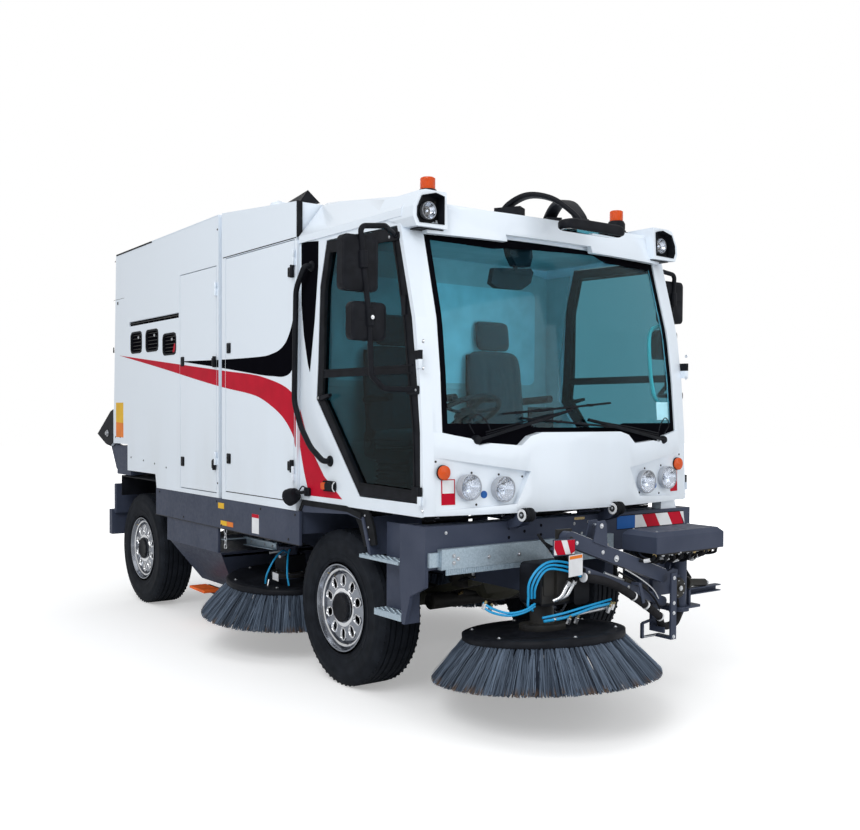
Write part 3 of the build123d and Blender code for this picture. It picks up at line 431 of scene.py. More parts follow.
# ---------------------------------------------------------------- building pieces
def turned_to(direction):
    """A rotation that takes +Z to the direction."""
    return Vector(direction).to_track_quat("Z", "Y").to_matrix().to_4x4()


def rounded(points, bend, steps=4):
    """The path through the points with its corners rounded."""
    points = [Vector(p) for p in points]
    path = [points[0]]
    for before, corner, after in zip(points, points[1:], points[2:]):
        reach = min(bend, (before - corner).length * 0.49, (after - corner).length * 0.49)
        start = corner + (before - corner).normalized() * reach
        end = corner + (after - corner).normalized() * reach
        for step in range(steps + 1):
            t = step / steps
            path.append(start * (1 - t) ** 2 + corner * 2 * t * (1 - t) + end * t ** 2)
    return path + [points[-1]]


def smooth(points, steps=6):
    """A soft curve through the points."""
    points = [Vector(p) for p in points]
    ends = [points[0] * 2 - points[1]] + points + [points[-1] * 2 - points[-2]]
    path = []
    for a, b, c, d in zip(ends, ends[1:], ends[2:], ends[3:]):
        for step in range(steps):
            t = step / steps
            path.append(0.5 * (b * 2 + (c - a) * t + (a * 2 - b * 5 + c * 4 - d) * t ** 2
                               + (b * 3 - a - c * 3 + d) * t ** 3))
    return path + [points[-1]]


def arc(centre, radius, start, end, steps):
    """Points of a circular arc in a plane, angles in degrees."""
    angles = [math.radians(start + (end - start) * n / steps) for n in range(steps + 1)]
    return [(centre[0] + radius * math.cos(a), centre[1] + radius * math.sin(a)) for a in angles]


def rounded_outline(x, y, radius, steps=4):
    """A rectangle with round corners, in a plane."""
    corners = ((x[1], y[1], 0), (x[0], y[1], 90), (x[0], y[0], 180), (x[1], y[0], 270))
    points = []
    for cx, cy, start in corners:
        inner = (cx - math.copysign(radius, cx - sum(x) / 2), cy - math.copysign(radius, cy - sum(y) / 2))
        points += arc(inner, radius, start, start + 90, steps)
    return points


class Piece:
    """A mesh gathered from simple shapes, placed from the front axle. side -1 mirrors it in X."""

    def __init__(self, name, body="chassis", side=1):
        self.name, self.body, self.side = name, body, side
        self.mesh = bmesh.new()
        self.used = []
        self.index = 0
        self.turn = Matrix.Identity(4)

    def use(self, material):
        if material not in self.used:
            self.used.append(material)
        self.index = self.used.index(material)
        return self

    def put(self, points, polygons):
        made = [self.mesh.verts.new(self.turn @ Vector(p)) for p in points]
        for polygon in polygons:
            self.mesh.faces.new([made[i] for i in polygon]).material_index = self.index
        return self

    def loft(self, rows, closed=True, caps=True):
        """Faces between rows of points."""
        count = len(rows[0])
        last = len(rows) - 1
        polygons = [(r * count + i, r * count + (i + 1) % count, (r + 1) * count + (i + 1) % count,
                     (r + 1) * count + i) for r in range(last)
                    for i in range(count if closed else count - 1)]
        if caps and closed:
            polygons += [tuple(reversed(range(count))), tuple(range(last * count, (last + 1) * count))]
        return self.put([p for row in rows for p in row], polygons)

    def slab(self, points, offset):
        """A flat outline given thickness."""
        return self.loft([points, [Vector(p) + Vector(offset) for p in points]])

    def block(self, x, y, z):
        return self.slab([(x[0], y[0], z[0]), (x[1], y[0], z[0]), (x[1], y[1], z[0]), (x[0], y[1], z[0])],
                         (0, 0, z[1] - z[0]))

    def across(self, points, x):
        """An outline of Y and Z, given its extent in X."""
        return self.slab([(x[0], y, z) for y, z in points], (x[1] - x[0], 0, 0))

    def along(self, points, y):
        """An outline of X and Z, given its extent in Y."""
        return self.slab([(x, y[0], z) for x, z in points], (0, y[1] - y[0], 0))

    def upright(self, points, z):
        """An outline of X and Y, given its extent in Z."""
        return self.slab([(x, y, z[0]) for x, y in points], (0, 0, z[1] - z[0]))

    def lathe(self, profile, start, direction, count=24, caps=True):
        """(radius, distance) pairs turned about an axis."""
        keep = self.turn
        self.turn = keep @ Matrix.Translation(start) @ turned_to(direction)
        angles = [math.tau * n / count for n in range(count)]
        self.loft([[(r * math.cos(a), r * math.sin(a), d) for a in angles] for r, d in profile], caps=caps)
        self.turn = keep
        return self

    def rod(self, start, end, radius, count=12):
        line = Vector(end) - Vector(start)
        length = line.length
        edge = min(radius, length) * 0.12
        return self.lathe(((radius - edge, 0), (radius, edge), (radius, length - edge),
                           (radius - edge, length)), start, line, count)

    def sweep(self, path, radius, count=10, flat=1.0):
        """A tube along a path."""
        rows = []
        path = [Vector(p) for p in path]
        ahead = (path[1] - path[0]).normalized()
        normal = ahead.orthogonal().normalized()
        for n, point in enumerate(path):
            tangent = (path[min(n + 1, len(path) - 1)] - path[max(n - 1, 0)]).normalized()
            normal = (normal - tangent * normal.dot(tangent)).normalized()
            other = tangent.cross(normal)
            rows.append([point + (normal * math.cos(a) * flat + other * math.sin(a)) * radius
                         for a in (math.tau * i / count for i in range(count))])
        return self.loft(rows)

    def pipe(self, points, radius, bend=0.05, count=10):
        return self.sweep(rounded(points, bend), radius, count)

    def hose(self, points, radius, count=10):
        return self.sweep(smooth(points), radius, count)

    def bolt(self, place, direction, size):
        """A washer and a hexagonal head."""
        self.lathe(((size * 0.9, 0), (size, size * 0.08), (size, size * 0.18), (0.0, size * 0.18)),
                   place, direction, 16)
        return self.lathe(((size * 0.62, size * 0.15), (size * 0.62, size * 0.55),
                           (size * 0.5, size * 0.68), (0.0, size * 0.68)), place, direction, 6)

    def heads(self, profile, places, direction, count=12):
        """The same small turned head at several places."""
        for place in places:
            self.lathe(profile, place, direction, count)
        return self

    def done(self, slot=None, bevel=0.0, sharp=38, replaces=()):
        if self.side < 0:
            bmesh.ops.scale(self.mesh, vec=(-1, 1, 1), verts=self.mesh.verts)
        bmesh.ops.translate(self.mesh, vec=(0, axle_y, 0), verts=self.mesh.verts)
        bmesh.ops.remove_doubles(self.mesh, verts=self.mesh.verts, dist=0.000001)
        bmesh.ops.dissolve_degenerate(self.mesh, edges=self.mesh.edges, dist=0.0000001)
        bmesh.ops.recalc_face_normals(self.mesh, faces=self.mesh.faces)
        data = bpy.data.meshes.new(self.name)
        self.mesh.to_mesh(data)
        self.mesh.free()
        for material in self.used:
            data.materials.append(MAT[material])
        data.shade_smooth()
        data.set_sharp_from_angle(angle=math.radians(sharp))
        obj = bpy.data.objects.new(self.name, data)
        bpy.context.scene.collection.objects.link(obj)
        if bevel:
            soft = obj.modifiers.new("bevel", "BEVEL")
            soft.width, soft.segments, soft.limit_method = bevel, 2, "ANGLE"
            soft.angle_limit = math.radians(sharp)
            soft.harden_normals = True
        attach(obj, self.body)
        slot or slot_near(self.used[0])
        if replaces:
            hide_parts(*replaces)
        return obj


# Small turned heads: (radius, distance from the face).
hinge_screw = ((0.006, 0), (0.006, 0.0015), (0.0045, 0.003), (0, 0.003))
panel_rivet = ((0.007, 0), (0.007, 0.0012), (0.005, 0.003), (0, 0.003))
skirt_rivet = ((0.008, 0), (0.008, 0.0015), (0.0055, 0.004), (0, 0.0045))
front_screw = ((0.006, 0), (0.006, 0.0025), (0.004, 0.004), (0, 0.004))
pod_screw = ((0.006, 0), (0.006, 0.002), (0, 0.003))
visor_screw = ((0.007, 0), (0.007, 0.004), (0, 0.005))
roof_screw = ((0.008, 0), (0.008, 0.002), (0.005, 0.004), (0, 0.004))
beam_plug = ((0.0085, 0), (0.0085, 0.0008), (0, 0.0008))

slots = set(slot_of.values())
near_slot = {"red_film": "white_paint", "white_film": "white_paint", "chrome": "polished_alloy",
             "clear": "tinted_glass", "amber": "lamp_lens", "red_lens": "lamp_lens",
             "foam": "black_plastic", "steel": "galvanised_steel", "bright_steel": "galvanised_steel",
             "axle_green": "grey_paint", "dark_steel": "grey_paint", "door_glass": "tinted_glass",
             "mirror": "polished_alloy"}


def slot_near(material):
    """The record's slot that a material takes its finish from."""
    return material if material in slots else near_slot.get(material, "black_plastic")


# ---------------------------------------------------------------- brushes
tip_radius, tip_drop = 0.59, 0.235
side_disc_place, side_disc_tilt = (0.660, 1.070, 0.466), (3, 2)
root_drop = 0.030                               # below the disc's top
bristle_depth = 0.0011                          # half of a bristle's depth
bristle_corners = ((-1, -1), (1, -1), (0, 1.4))          # of its section, in half widths and half depths
bristle_shares = (0.0, 0.4, 0.75, 1.0)          # where a bristle's cross sections lie along it
bristle_rings = (                               # root radius, reach, tufts, bristles in a tuft
    (0.402, 0.583, 110, 21), (0.375, 0.560, 90, 17), (0.345, 0.525, 72, 13), (0.31, 0.47, 50, 10),
)
disc_section = ((0.09, 0), (0.15, 0), (0.155, -0.006), (0.33, -0.006), (0.345, 0), (0.404, 0),
                (0.42, -0.006), (0.42, -0.034), (0.41, -0.045), (0.30, -0.05), (0.16, -0.045),
                (0.09, -0.045), (0.09, 0))


def tilted(place, tilt):
    """A frame at a place, turned about X and then about Y by degrees."""
    return (Matrix.Translation(place) @ Matrix.Rotation(math.radians(tilt[0]), 4, "X")
            @ Matrix.Rotation(math.radians(tilt[1]), 4, "Y"))


def make_brush(name, body, place, tilt, side, node, seed):
    """A brush disc with four rings of bristle tufts."""
    chance = random.Random(seed)
    tuft_shift, tuft_lean = 0.1, 0.008                       # share of the pitch, and radians
    root_spread, tip_spread = 0.011, 0.026                   # radians within a tuft
    root_shift, reach_shift, drop_shift = 0.004, 0.012, 0.008
    tone_shift = 0.2
    piece = Piece(name, body, side)
    piece.turn = tilted(place, tilt)
    piece.use("black_plastic")
    piece.lathe(disc_section, (0, 0, 0), upward, 72, caps=False)
    piece.use("steel")
    for n in range(6):
        angle = math.tau * n / 6 + 0.2
        piece.bolt((0.37 * math.cos(angle), 0.37 * math.sin(angle), -0.001), upward, 0.012)
    piece.use("bristle")
    layer = piece.mesh.verts.layers.float_color.new("along")
    for root, reach, tufts, count in bristle_rings:
        for tuft in range(tufts):
            middle = math.tau * (tuft + chance.uniform(-tuft_shift, tuft_shift)) / tufts
            lean = chance.gauss(0, tuft_lean)
            tone = chance.uniform(0.25, 0.8)
            worn = chance.random()
            for _ in range(count):
                angle = middle + chance.gauss(0, root_spread)
                swing = middle + lean + chance.gauss(0, tip_spread)
                start = Vector((math.cos(angle), math.sin(angle), 0)) * (root + chance.gauss(0, root_shift))
                start.z = -root_drop
                length = min(reach + chance.gauss(0, reach_shift), tip_radius - 0.002)
                end = Vector((math.cos(swing), math.sin(swing), 0)) * length
                end.z = -tip_drop + abs(chance.gauss(0, drop_shift))
                away = Vector((math.cos(swing), math.sin(swing), 0))
                side_way = Vector((-away.y, away.x, 0))
                half = chance.uniform(0.0018, 0.0029)
                # Each bristle's tone, random around its tuft's: partly its own tone, partly painted shade
                # and painted highlight.
                tone_and_painted_light = min(max(tone + chance.gauss(0, tone_shift), 0), 1)
                brown = min(max(worn + chance.gauss(0, tone_shift), 0), 1)
                rows = []
                for share in bristle_shares:
                    point = start.lerp(end, share) + Vector((0, 0, 0.012 * math.sin(math.pi * share)))
                    point -= away * 0.006 * math.sin(math.pi * share)
                    corners = [point + side_way * half * a + away * bristle_depth * b
                               for a, b in bristle_corners]
                    rows.append([piece.mesh.verts.new(piece.turn @ corner) for corner in corners])
                    for vert in rows[-1]:
                        vert[layer] = (share, tone_and_painted_light, brown, 1)
                for low, high in zip(rows, rows[1:]):
                    for i in range(3):
                        j = (i + 1) % 3
                        piece.mesh.faces.new((low[i], low[j], high[j],
                                              high[i])).material_index = piece.index
                piece.mesh.faces.new(rows[-1]).material_index = piece.index
    piece.done("bristle", sharp=70, replaces=(node,))


make_brush("front_disc_brush", "front_brush", (-0.370, -1.080, 0.452), (-5.5, 0), 1, "front_brush", 11)
for hand, sign in sides:
    make_brush(f"side_disc_brush_{hand}", f"side_brush_{hand}", side_disc_place, side_disc_tilt, sign,
               f"side_brush_{hand}", 20 + sign)


# ---------------------------------------------------------------- wheels
def tyre_profile():
    """Section of a road tyre from bead to bead: (radius, distance from the middle)."""
    outside = [(0.2500, 0.132), (0.2625, 0.132), (0.2640, 0.1255), (0.2700, 0.1270), (0.2790, 0.1300),
               (0.2800, 0.1330), (0.2850, 0.1360), (0.2870, 0.1345), (0.3100, 0.1405), (0.3130, 0.1412),
               (0.3135, 0.1398), (0.3400, 0.1412), (0.3700, 0.1400), (0.3720, 0.1408), (0.3850, 0.1390),
               (0.3980, 0.1355), (0.4000, 0.1342), (0.4080, 0.1335), (0.4230, 0.1290), (0.4360, 0.1200),
               (0.4420, 0.1130)]
    tread = []
    edge = 0.1085
    for groove, width in ((0.082, 0.010), (0.045, 0.013), (0.0, 0.014)):
        tread += [(0.4475 - 0.012 * (edge / 0.11) ** 4 * 0.3, edge), (0.4475, groove + width / 2 + 0.001),
                  (0.4460, groove + width / 2), (0.4345, groove + width / 2 - 0.003)]
        edge = groove - width / 2 - 0.001
        if groove:
            tread += [(0.4345, groove - width / 2 + 0.003), (0.4460, groove - width / 2)]
    half = outside + tread
    return half + [(r, -x) for r, x in reversed(half)]


def hole_lip():
    """The rolled edge of an oval hole in the rim: rows across the lip."""
    rows = []
    for half, reach, x in ((0.0290, 0.0105, 0.9035), (0.0275, 0.0105, 0.9085), (0.0235, 0.0100, 0.9095),
                           (0.0205, 0.0095, 0.9050), (0.0205, 0.0090, 0.8900)):
        rows.append([(x, half * math.sin(a), 0.154 + math.copysign(reach, math.cos(a)) + half * math.cos(a))
                     for a in (math.tau * (i + 0.5) / 28 for i in range(28))])
    return rows


def make_wheel(hand, sign, place, y):
    """A tyre with its ribs, and the hole lips, cap and valve of its rim, with a black ring behind the holes
    that paints the shade inside them.
    """
    body = f"wheel_{place}_{hand}"
    centre = (0, y, hub_z)
    tyre = Piece(f"road_tyre_{place}_{hand}", body, sign).use("tyre_rubber")
    tyre.lathe(tyre_profile(), (0.8, y, hub_z), outward, 96, caps=False)
    for n in range(64):
        a = math.tau * n / 64
        for x, reach in ((0.1105, 0.006), (-0.1105, -0.006)):
            start = Vector((0.8 + x, y + 0.4445 * math.sin(a), hub_z + 0.4445 * math.cos(a)))
            out = Vector((0, math.sin(a), math.cos(a)))
            round_way = Vector((0, math.cos(a), -math.sin(a)))
            corners = [start + round_way * u + out * v
                       for u, v in ((-0.007, -0.004), (0.007, -0.004), (0.006, 0.002), (-0.006, 0.002))]
            tyre.slab(corners, (reach, 0, 0))
    tyre.done("tyre_rubber", replaces=(f"tyre_{place}_{hand}",), sharp=30)
    trim = Piece(f"wheel_trim_{place}_{hand}", body, sign)
    # A black ring behind the rim's holes: painted shade seen through them.
    trim.use("black_plastic").lathe(((0.122, 0.858), (0.196, 0.858), (0.196, 0.864), (0.122, 0.864),
                                     (0.122, 0.858)), centre, outward, 40, caps=False)
    trim.lathe(((0.083, 0.902), (0.083, 0.9275), (0.079, 0.9310), (0.060, 0.9315), (0.056, 0.9300),
                (0, 0.9300)), centre, outward, 36)
    for n in range(10):
        trim.turn = Matrix.Translation(centre) @ Matrix.Rotation(math.tau * n / 10, 4, "X")
        trim.use("chrome").loft(hole_lip(), caps=False)
        trim.use("dark_steel").bolt((0.9315, 0.068 * math.sin(0.3), 0.068 * math.cos(0.3)), outward, 0.006)
    trim.turn = Matrix.Identity(4)
    trim.use("chrome").lathe(((0.112, 0.9075), (0.110, 0.9110), (0.090, 0.9115), (0.0875, 0.9080)), centre,
                             outward, 48, caps=False)
    trim.lathe(((0.226, 0.9085), (0.222, 0.9125), (0.216, 0.9130), (0.210, 0.9075)), centre, outward, 64,
               caps=False)
    trim.use("brass").pipe(((0.885, y + 0.15, hub_z + 0.172), (0.915, y + 0.155, hub_z + 0.178),
                            (0.924, y + 0.175, hub_z + 0.200)), 0.0042, 0.012, 8)
    trim.done("polished_alloy")


for hand, sign in sides:
    for place, y in (("front", 0.0), ("rear", wheelbase)):
        make_wheel(hand, sign, place, y)


# ---------------------------------------------------------------- stripes and body trim
def spline_2d(points, steps=6):
    """A soft curve through (y, z) points."""
    return [(p.y, p.z) for p in smooth([(0, y, z) for y, z in points], steps)]


red_top = spline_2d(((3.303, 2.031), (2.40, 1.944), (1.392, 1.848), (0.92, 1.806), (0.70, 1.772),
                     (0.50, 1.725), (0.379, 1.672), (0.20, 1.575), (0.0, 1.44)))
red_low = spline_2d(((3.303, 2.031), (2.40, 1.895), (1.743, 1.791), (1.312, 1.728), (0.96, 1.685),
                     (0.776, 1.647), (0.576, 1.570), (0.46, 1.500), (0.378, 1.420), (0.36, 1.37),
                     (0.30, 1.27), (0.25, 1.18)))
black_top = spline_2d(((2.06, 1.934), (1.358, 1.918), (0.80, 1.914), (0.635, 1.927), (0.545, 1.948),
                       (0.470, 1.990), (0.415, 2.060), (0.378, 2.140), (0.352, 2.230)))
black_low = spline_2d(((2.06, 1.934), (1.358, 1.862), (0.80, 1.800), (0.620, 1.786), (0.520, 1.780),
                       (0.440, 1.792), (0.395, 1.822), (0.372, 1.870), (0.352, 1.95)))
stripe_panels = (          # name, body, Y range
    ("hopper_tail", "hopper", (2.064, 3.45)), ("hopper_door", "hopper_door_{}", (1.440, 2.058)),
    ("hopper_front", "hopper", (1.409, 1.434)), ("housing_tail", "chassis", (1.306, 1.357)),
    ("service_door", "service_door_{}", (0.374, 1.299)), ("housing_front", "chassis", (0.352, 0.366)),
)


def film(piece, upper, lower, x, y_range):
    """A thin strip of film between two edges, cut to a range of Y."""
    count = 40
    y0, y1 = y_range
    ends = [min(p[0] for p in upper), max(p[0] for p in upper)]
    y0, y1 = max(y0, ends[0]), min(y1, ends[1])
    if y1 - y0 < 0.001:
        return

    def height(edge, y):
        for (ya, za), (yb, zb) in zip(edge, edge[1:]):
            if min(ya, yb) <= y <= max(ya, yb) and ya != yb:
                return za + (zb - za) * (y - ya) / (yb - ya)
        return min(edge, key=lambda p: abs(p[0] - y))[1]

    rows = []
    for n in range(count + 1):
        y = y0 + (y1 - y0) * n / count
        top, low = height(upper, y), height(lower, y)
        top = max(top, low + 0.0005)
        rows.append([(x, y, low), (x, y, top), (x + 0.0012, y, top), (x + 0.0012, y, low)])
    piece.loft(rows)


for hand, sign in sides:
    for name, body, span in stripe_panels:
        piece = Piece(f"stripes_{name}_{hand}", body.format(hand), sign)
        film(piece.use("red_film"), red_top, red_low, side_x, span)
        film(piece.use("black_film"), black_top, black_low, side_x, span)
        piece.done("white_paint")
    trim = Piece(f"cab_side_film_{hand}", "chassis", sign)
    red = [(0.336, 1.583), (0.225, 1.370), (0.06, 1.20), (-0.135, 1.082), (0.225, 1.079), (0.285, 1.21),
           (0.336, 1.36)]
    trim.use("red_film").across(red, (cab_x, cab_x + 0.0012))
    slit = [(0.128, 2.547), (0.322, 2.566), (0.320, 2.20), (0.292, 2.02), (0.245, 1.85), (0.222, 1.80),
            (0.168, 2.10), (0.130, 2.40)]
    trim.use("black_film").across(slit, (cab_x, cab_x + 0.0015))
    trim.done("white_paint")

    handle = Piece(f"grab_sleeve_{hand}", "chassis", sign).use("black_plastic")
    points = ((0.998, 0.200, 2.411), (1.050, 0.200, 2.411), (1.050, 0.300, 2.285), (1.050, 0.318, 1.627),
              (1.050, 0.240, 1.480), (1.050, 0.130, 1.365), (1.050, -0.010, 1.290), (0.998, -0.010, 1.290))
    handle.pipe(points, 0.0165, 0.04, 14)
    for p in (points[0], points[-1]):
        handle.lathe(((0.030, 0), (0.032, 0.003), (0.030, 0.009), (0.019, 0.014), (0, 0.014)),
                     (1.0, p[1], p[2]), outward, 20)
    handle.done("black_plastic")

    body_trim = Piece(f"housing_trim_{hand}", "chassis", sign)
    body_trim.use("black_film").block((1.019, 1.0205), (0.352, 1.340), (2.594, 2.600))
    body_trim.use("rubber").across([(0.338, 2.602), (0.352, 2.602), (0.352, 2.815), (0.338, 2.812)],
                                   (0.985, 1.017))
    body_trim.use("white_paint").along(rounded_outline((cab_x, cab_x + 0.02), (1.060, 2.58), 0.006),
                                       (0.3385, 0.3515))
    body_trim.done("white_paint")


def latch(piece, y, z):
    """A flush paddle latch."""
    outline = rounded_outline((y - 0.028, y + 0.028), (z - 0.034, z + 0.034), 0.008)
    piece.use("black_plastic").across(outline, (side_x, side_x + 0.0045))
    inner = rounded_outline((y - 0.019, y + 0.019), (z - 0.026, z + 0.020), 0.005)
    piece.across(inner, (1.0245, 1.0275))
    piece.use("dark_steel").lathe(((0.007, 0), (0.007, 0.002), (0, 0.002)), (1.0275, y, z - 0.010), outward,
                                  16)


def door_hinge(piece, y, z, leaf):
    """A black hinge: barrel cover and a bolted leaf that reaches from y towards leaf."""
    piece.use("black_plastic")
    way = math.copysign(1, leaf - y)
    piece.lathe(((0.011, 0), (0.013, 0.004), (0.013, 0.071), (0.011, 0.075)), (1.0335, y, z - 0.0375),
                upward, 16)
    plate = rounded_outline(sorted((y + way * 0.004, leaf)), (z - 0.028, z + 0.028), 0.008)
    piece.across(plate, (side_x, side_x + 0.0085))
    piece.use("dark_steel")
    piece.heads(hinge_screw, [(1.0285, y + way * 0.038, z + dz) for dz in (-0.016, 0.016)], outward)


def vent(piece, y, z, number):
    """The inside of a vent: dark mesh, a flap and a red lever."""
    y0, y1 = y
    z0, z1 = z
    piece.use("black_film").across(rounded_outline((y0 - 0.004, y1 + 0.004), (z0 - 0.004, z1 + 0.004),
                                                   0.045, 6), (1.0060, 1.0075))
    piece.use("black_plastic")
    outer = rounded_outline((y0 - 0.008, y1 + 0.008), (z0 - 0.008, z1 + 0.008), 0.045, 6)
    inner = rounded_outline((y0 + 0.006, y1 - 0.006), (z0 + 0.006, z1 - 0.006), 0.040, 6)
    rows = [[(1.0202, *p) for p in outer], [(1.0225, *p) for p in outer], [(1.0225, *p) for p in inner],
            [(1.0080, *p) for p in inner]]
    piece.loft(rows, caps=False)
    piece.use("dark_steel")
    for n in range(5):
        height = z0 + (z1 - z0) * (n + 0.8) / 5.6
        piece.block((1.008, 1.011), (y0 + 0.02, y1 - 0.02), (height, height + 0.005))
    piece.use("steel").lathe(((0.010, 0), (0.012, 0.003), (0.008, 0.007), (0, 0.007)),
                             (1.010, (y0 + y1) / 2 - 0.03, z1 - 0.04), outward, 12)
    if number == 0:
        piece.use("red_film").across([(y0 + 0.02, z0 + 0.012), (y0 + 0.075, z0 + 0.012),
                                      (y0 + 0.045, z0 + 0.075), (y0 + 0.02, z0 + 0.075)], (1.009, 1.0145))


for hand, sign in sides:
    piece = Piece(f"service_door_trim_{hand}", f"service_door_{hand}", sign)
    for z in (1.255, 1.990):
        latch(piece, 1.250, z)
    for z in (1.244, 2.400):
        door_hinge(piece, 0.378, z, 0.440)
    piece.use("rubber").block((0.9925, 1.0185), (0.374, 1.299), (1.0305, 1.0345))
    piece.done("black_plastic")

    piece = Piece(f"hopper_door_trim_{hand}", f"hopper_door_{hand}", sign)
    for z in (1.205, 1.930):
        latch(piece, 2.010, z)
    for z in (1.207, 1.907):
        door_hinge(piece, 1.450, z, 1.505)
    piece.done("black_plastic")

    piece = Piece(f"hopper_trim_{hand}", "hopper", sign)
    for number, (y0, y1, z0, z1) in enumerate(((2.135, 2.377, 1.996, 2.146), (2.476, 2.720, 2.038, 2.196),
                                                (2.814, 3.045, 2.040, 2.198))):
        vent(piece, (y0, y1), (z0, z1), number)
    piece.use("black_film").block((1.0082, 1.0095), (2.082, 3.080), (2.257, 2.290))
    piece.use("dark_steel").block((1.0090, 1.0165), (2.085, 3.078), (2.272, 2.279))
    for n in range(9):
        y = 2.14 + 0.11 * n
        piece.bolt((1.0095, y, 2.2655), outward, 0.007)
    piece.use("dark_steel")
    spots = ((2.32, 1.145), (2.55, 1.165), (2.78, 1.180), (3.05, 1.195), (3.30, 1.352), (3.41, 1.352),
             (3.40, 2.82), (1.425, 2.80), (1.425, 1.08))
    piece.heads(panel_rivet, [(side_x, y, z) for y, z in spots], outward, 14)
    piece.use("black_film").block((1.0185, 1.0203), (3.195, 3.448), (2.4975, 2.5))
    piece.use("dark_steel").block((side_x, side_x + 0.005), (3.335, 3.347), (2.455, 2.478))
    piece.across([(3.430, 2.06), (3.448, 2.06), (3.444, 2.105), (3.436, 2.105)], (side_x, side_x + 0.006))
    piece.use("yellow_film").across([(3.225, 1.470), (3.395, 1.480), (3.395, 1.640), (3.225, 1.640)],
                                    (side_x, side_x + 0.0012))
    piece.use("orange_film").across([(3.225, 1.352), (3.395, 1.352), (3.395, 1.480), (3.225, 1.470)],
                                    (side_x, side_x + 0.0012))
    piece.done("white_paint")


# ---------------------------------------------------------------- cab front and roof
front_line = ((1.050, -0.900), (1.467, -0.885), (1.763, -0.860), (2.043, -0.822), (2.560, -0.680))


def front_y(x, z, bow=0.08, edge=0.94):
    """Y of the cab's front surface."""
    for (z0, y0), (z1, y1) in zip(front_line, front_line[1:]):
        if z <= z1:
            break
    radius = (edge ** 2 + bow ** 2) / (2 * bow)
    sag = math.sqrt(radius ** 2 - min(abs(x), edge) ** 2) - (radius - bow)
    return y0 + (y1 - y0) * (z - z0) / (z1 - z0) - sag


def on_glass(points, lift=-0.0098, thick=0.0008, steps=8):
    """Rows of a thin band on the windshield between pairs of (x, z) points."""
    rows = []
    for ((xa, za), (xb, zb)), ((xc, zc), (xd, zd)) in zip(points, points[1:]):
        for n in range(steps + (1 if (xc, zc, xd, zd) == (*points[-1][0], *points[-1][1]) else 0)):
            t = n / steps
            low = (xa + (xc - xa) * t, za + (zc - za) * t)
            high = (xb + (xd - xb) * t, zb + (zd - zb) * t)
            rows.append([(x, front_y(x, z) - lift - u, z) for (x, z), u in
                         ((low, 0), (high, 0), (high, thick), (low, thick))])
    return rows


def off_glass(x, z, lift):
    """A point in front of the windshield's face."""
    return (x, front_y(x, z) + 0.012 - lift, z)


def lamp_unit(piece, x, y, z, radius, ribs):
    """A round lamp that looks forward: chrome bowl, bulb and clear lens."""
    front = forward
    base = (x, y + 0.018, z)
    piece.use("lamp_rim").lathe(((0, -0.002), (radius * 0.94, -0.002), (radius * 0.99, 0.030),
                                 (radius, 0.036), (radius * 0.985, 0.041), (radius * 0.93, 0.0415),
                                 (radius * 0.92, 0.036)), base, front, 40, caps=False)
    bowl = [(radius * 0.12 + radius * 0.8 * t, 0.002 + 0.033 * t ** 1.8)
            for t in (0, 0.15, 0.3, 0.45, 0.6, 0.8, 1)]
    piece.use("lamp_bowl").lathe([(0, 0.002)] + bowl, base, front, 40, caps=False)
    piece.lathe(((radius * 0.20, 0.004), (radius * 0.17, 0.020), (radius * 0.10, 0.024), (0, 0.025)), base,
                front, 20)
    piece.use("clear")
    face = [(radius * 0.915 * t, 0.0455 - 0.008 * t ** 2) for t in (1, 0.85, 0.7, 0.5, 0.3, 0.0)]
    back = [(r, d - 0.003) for r, d in reversed(face)]
    piece.lathe(face + back + face[:1], base, front, 40, caps=False)
    for n in range(ribs):
        u = (n + 0.5) / ribs * 1.6 - 0.8
        reach = radius * 0.86 * math.sqrt(1 - u * u)
        depth = y + 0.018 - 0.0455 + 0.008 * u ** 2
        piece.slab([(x + radius * u - 0.0015, depth + 0.0008, z - reach),
                    (x + radius * u + 0.0015, depth + 0.0008, z - reach),
                    (x + radius * u + 0.0015, depth + 0.0008, z + reach),
                    (x + radius * u - 0.0015, depth + 0.0008, z + reach)], (0, 0.0012, 0))


def amber_lamp(piece, place, direction, radius, depth, material="amber"):
    """A domed coloured lens with rings on a dark base."""
    piece.use("rubber").lathe(((radius * 1.06, 0), (radius * 1.06, depth * 0.3), (radius, depth * 0.34),
                               (0, depth * 0.34)), place, direction, 32)
    profile = [(radius, depth * 0.2)]
    for n in range(6):
        r = radius * (1 - n * 0.15)
        d = depth * (0.75 + 0.25 * (1 - (r / radius) ** 2))
        profile += [(r, d), (r - radius * 0.06, d + depth * 0.05)]
    piece.use(material).lathe(profile + [(0, depth * 1.02)], place, direction, 32)


def beacon_lamp(piece, x, y, z):
    """A rotating beacon: rubber foot, dark cone and ribbed amber dome."""
    up = upward
    piece.use("black_plastic").lathe(((0.060, -0.004), (0.062, 0.004), (0.060, 0.012), (0.054, 0.020),
                                      (0.052, 0.060), (0.047, 0.072), (0.044, 0.074), (0, 0.074)),
                                     (x, y, z), up, 36)
    for n in range(12):
        a = math.tau * n / 12
        piece.rod((x + 0.0525 * math.cos(a), y + 0.0525 * math.sin(a), z + 0.022),
                  (x + 0.0525 * math.cos(a), y + 0.0525 * math.sin(a), z + 0.058), 0.003, 6)
    ribs = [(0.041, 0.074)]
    for n in range(8):
        d = 0.076 + n * 0.0065
        ribs += [(0.0415, d), (0.0395, d + 0.0033)]
    piece.use("amber").lathe(ribs + [(0.0415, 0.1285), (0.040, 0.134), (0.034, 0.138), (0, 0.139)],
                             (x, y, z), up, 36)
    piece.use("chrome").lathe(((0.020, 0.080), (0.026, 0.100), (0.020, 0.120)), (x, y, z), up, 20)


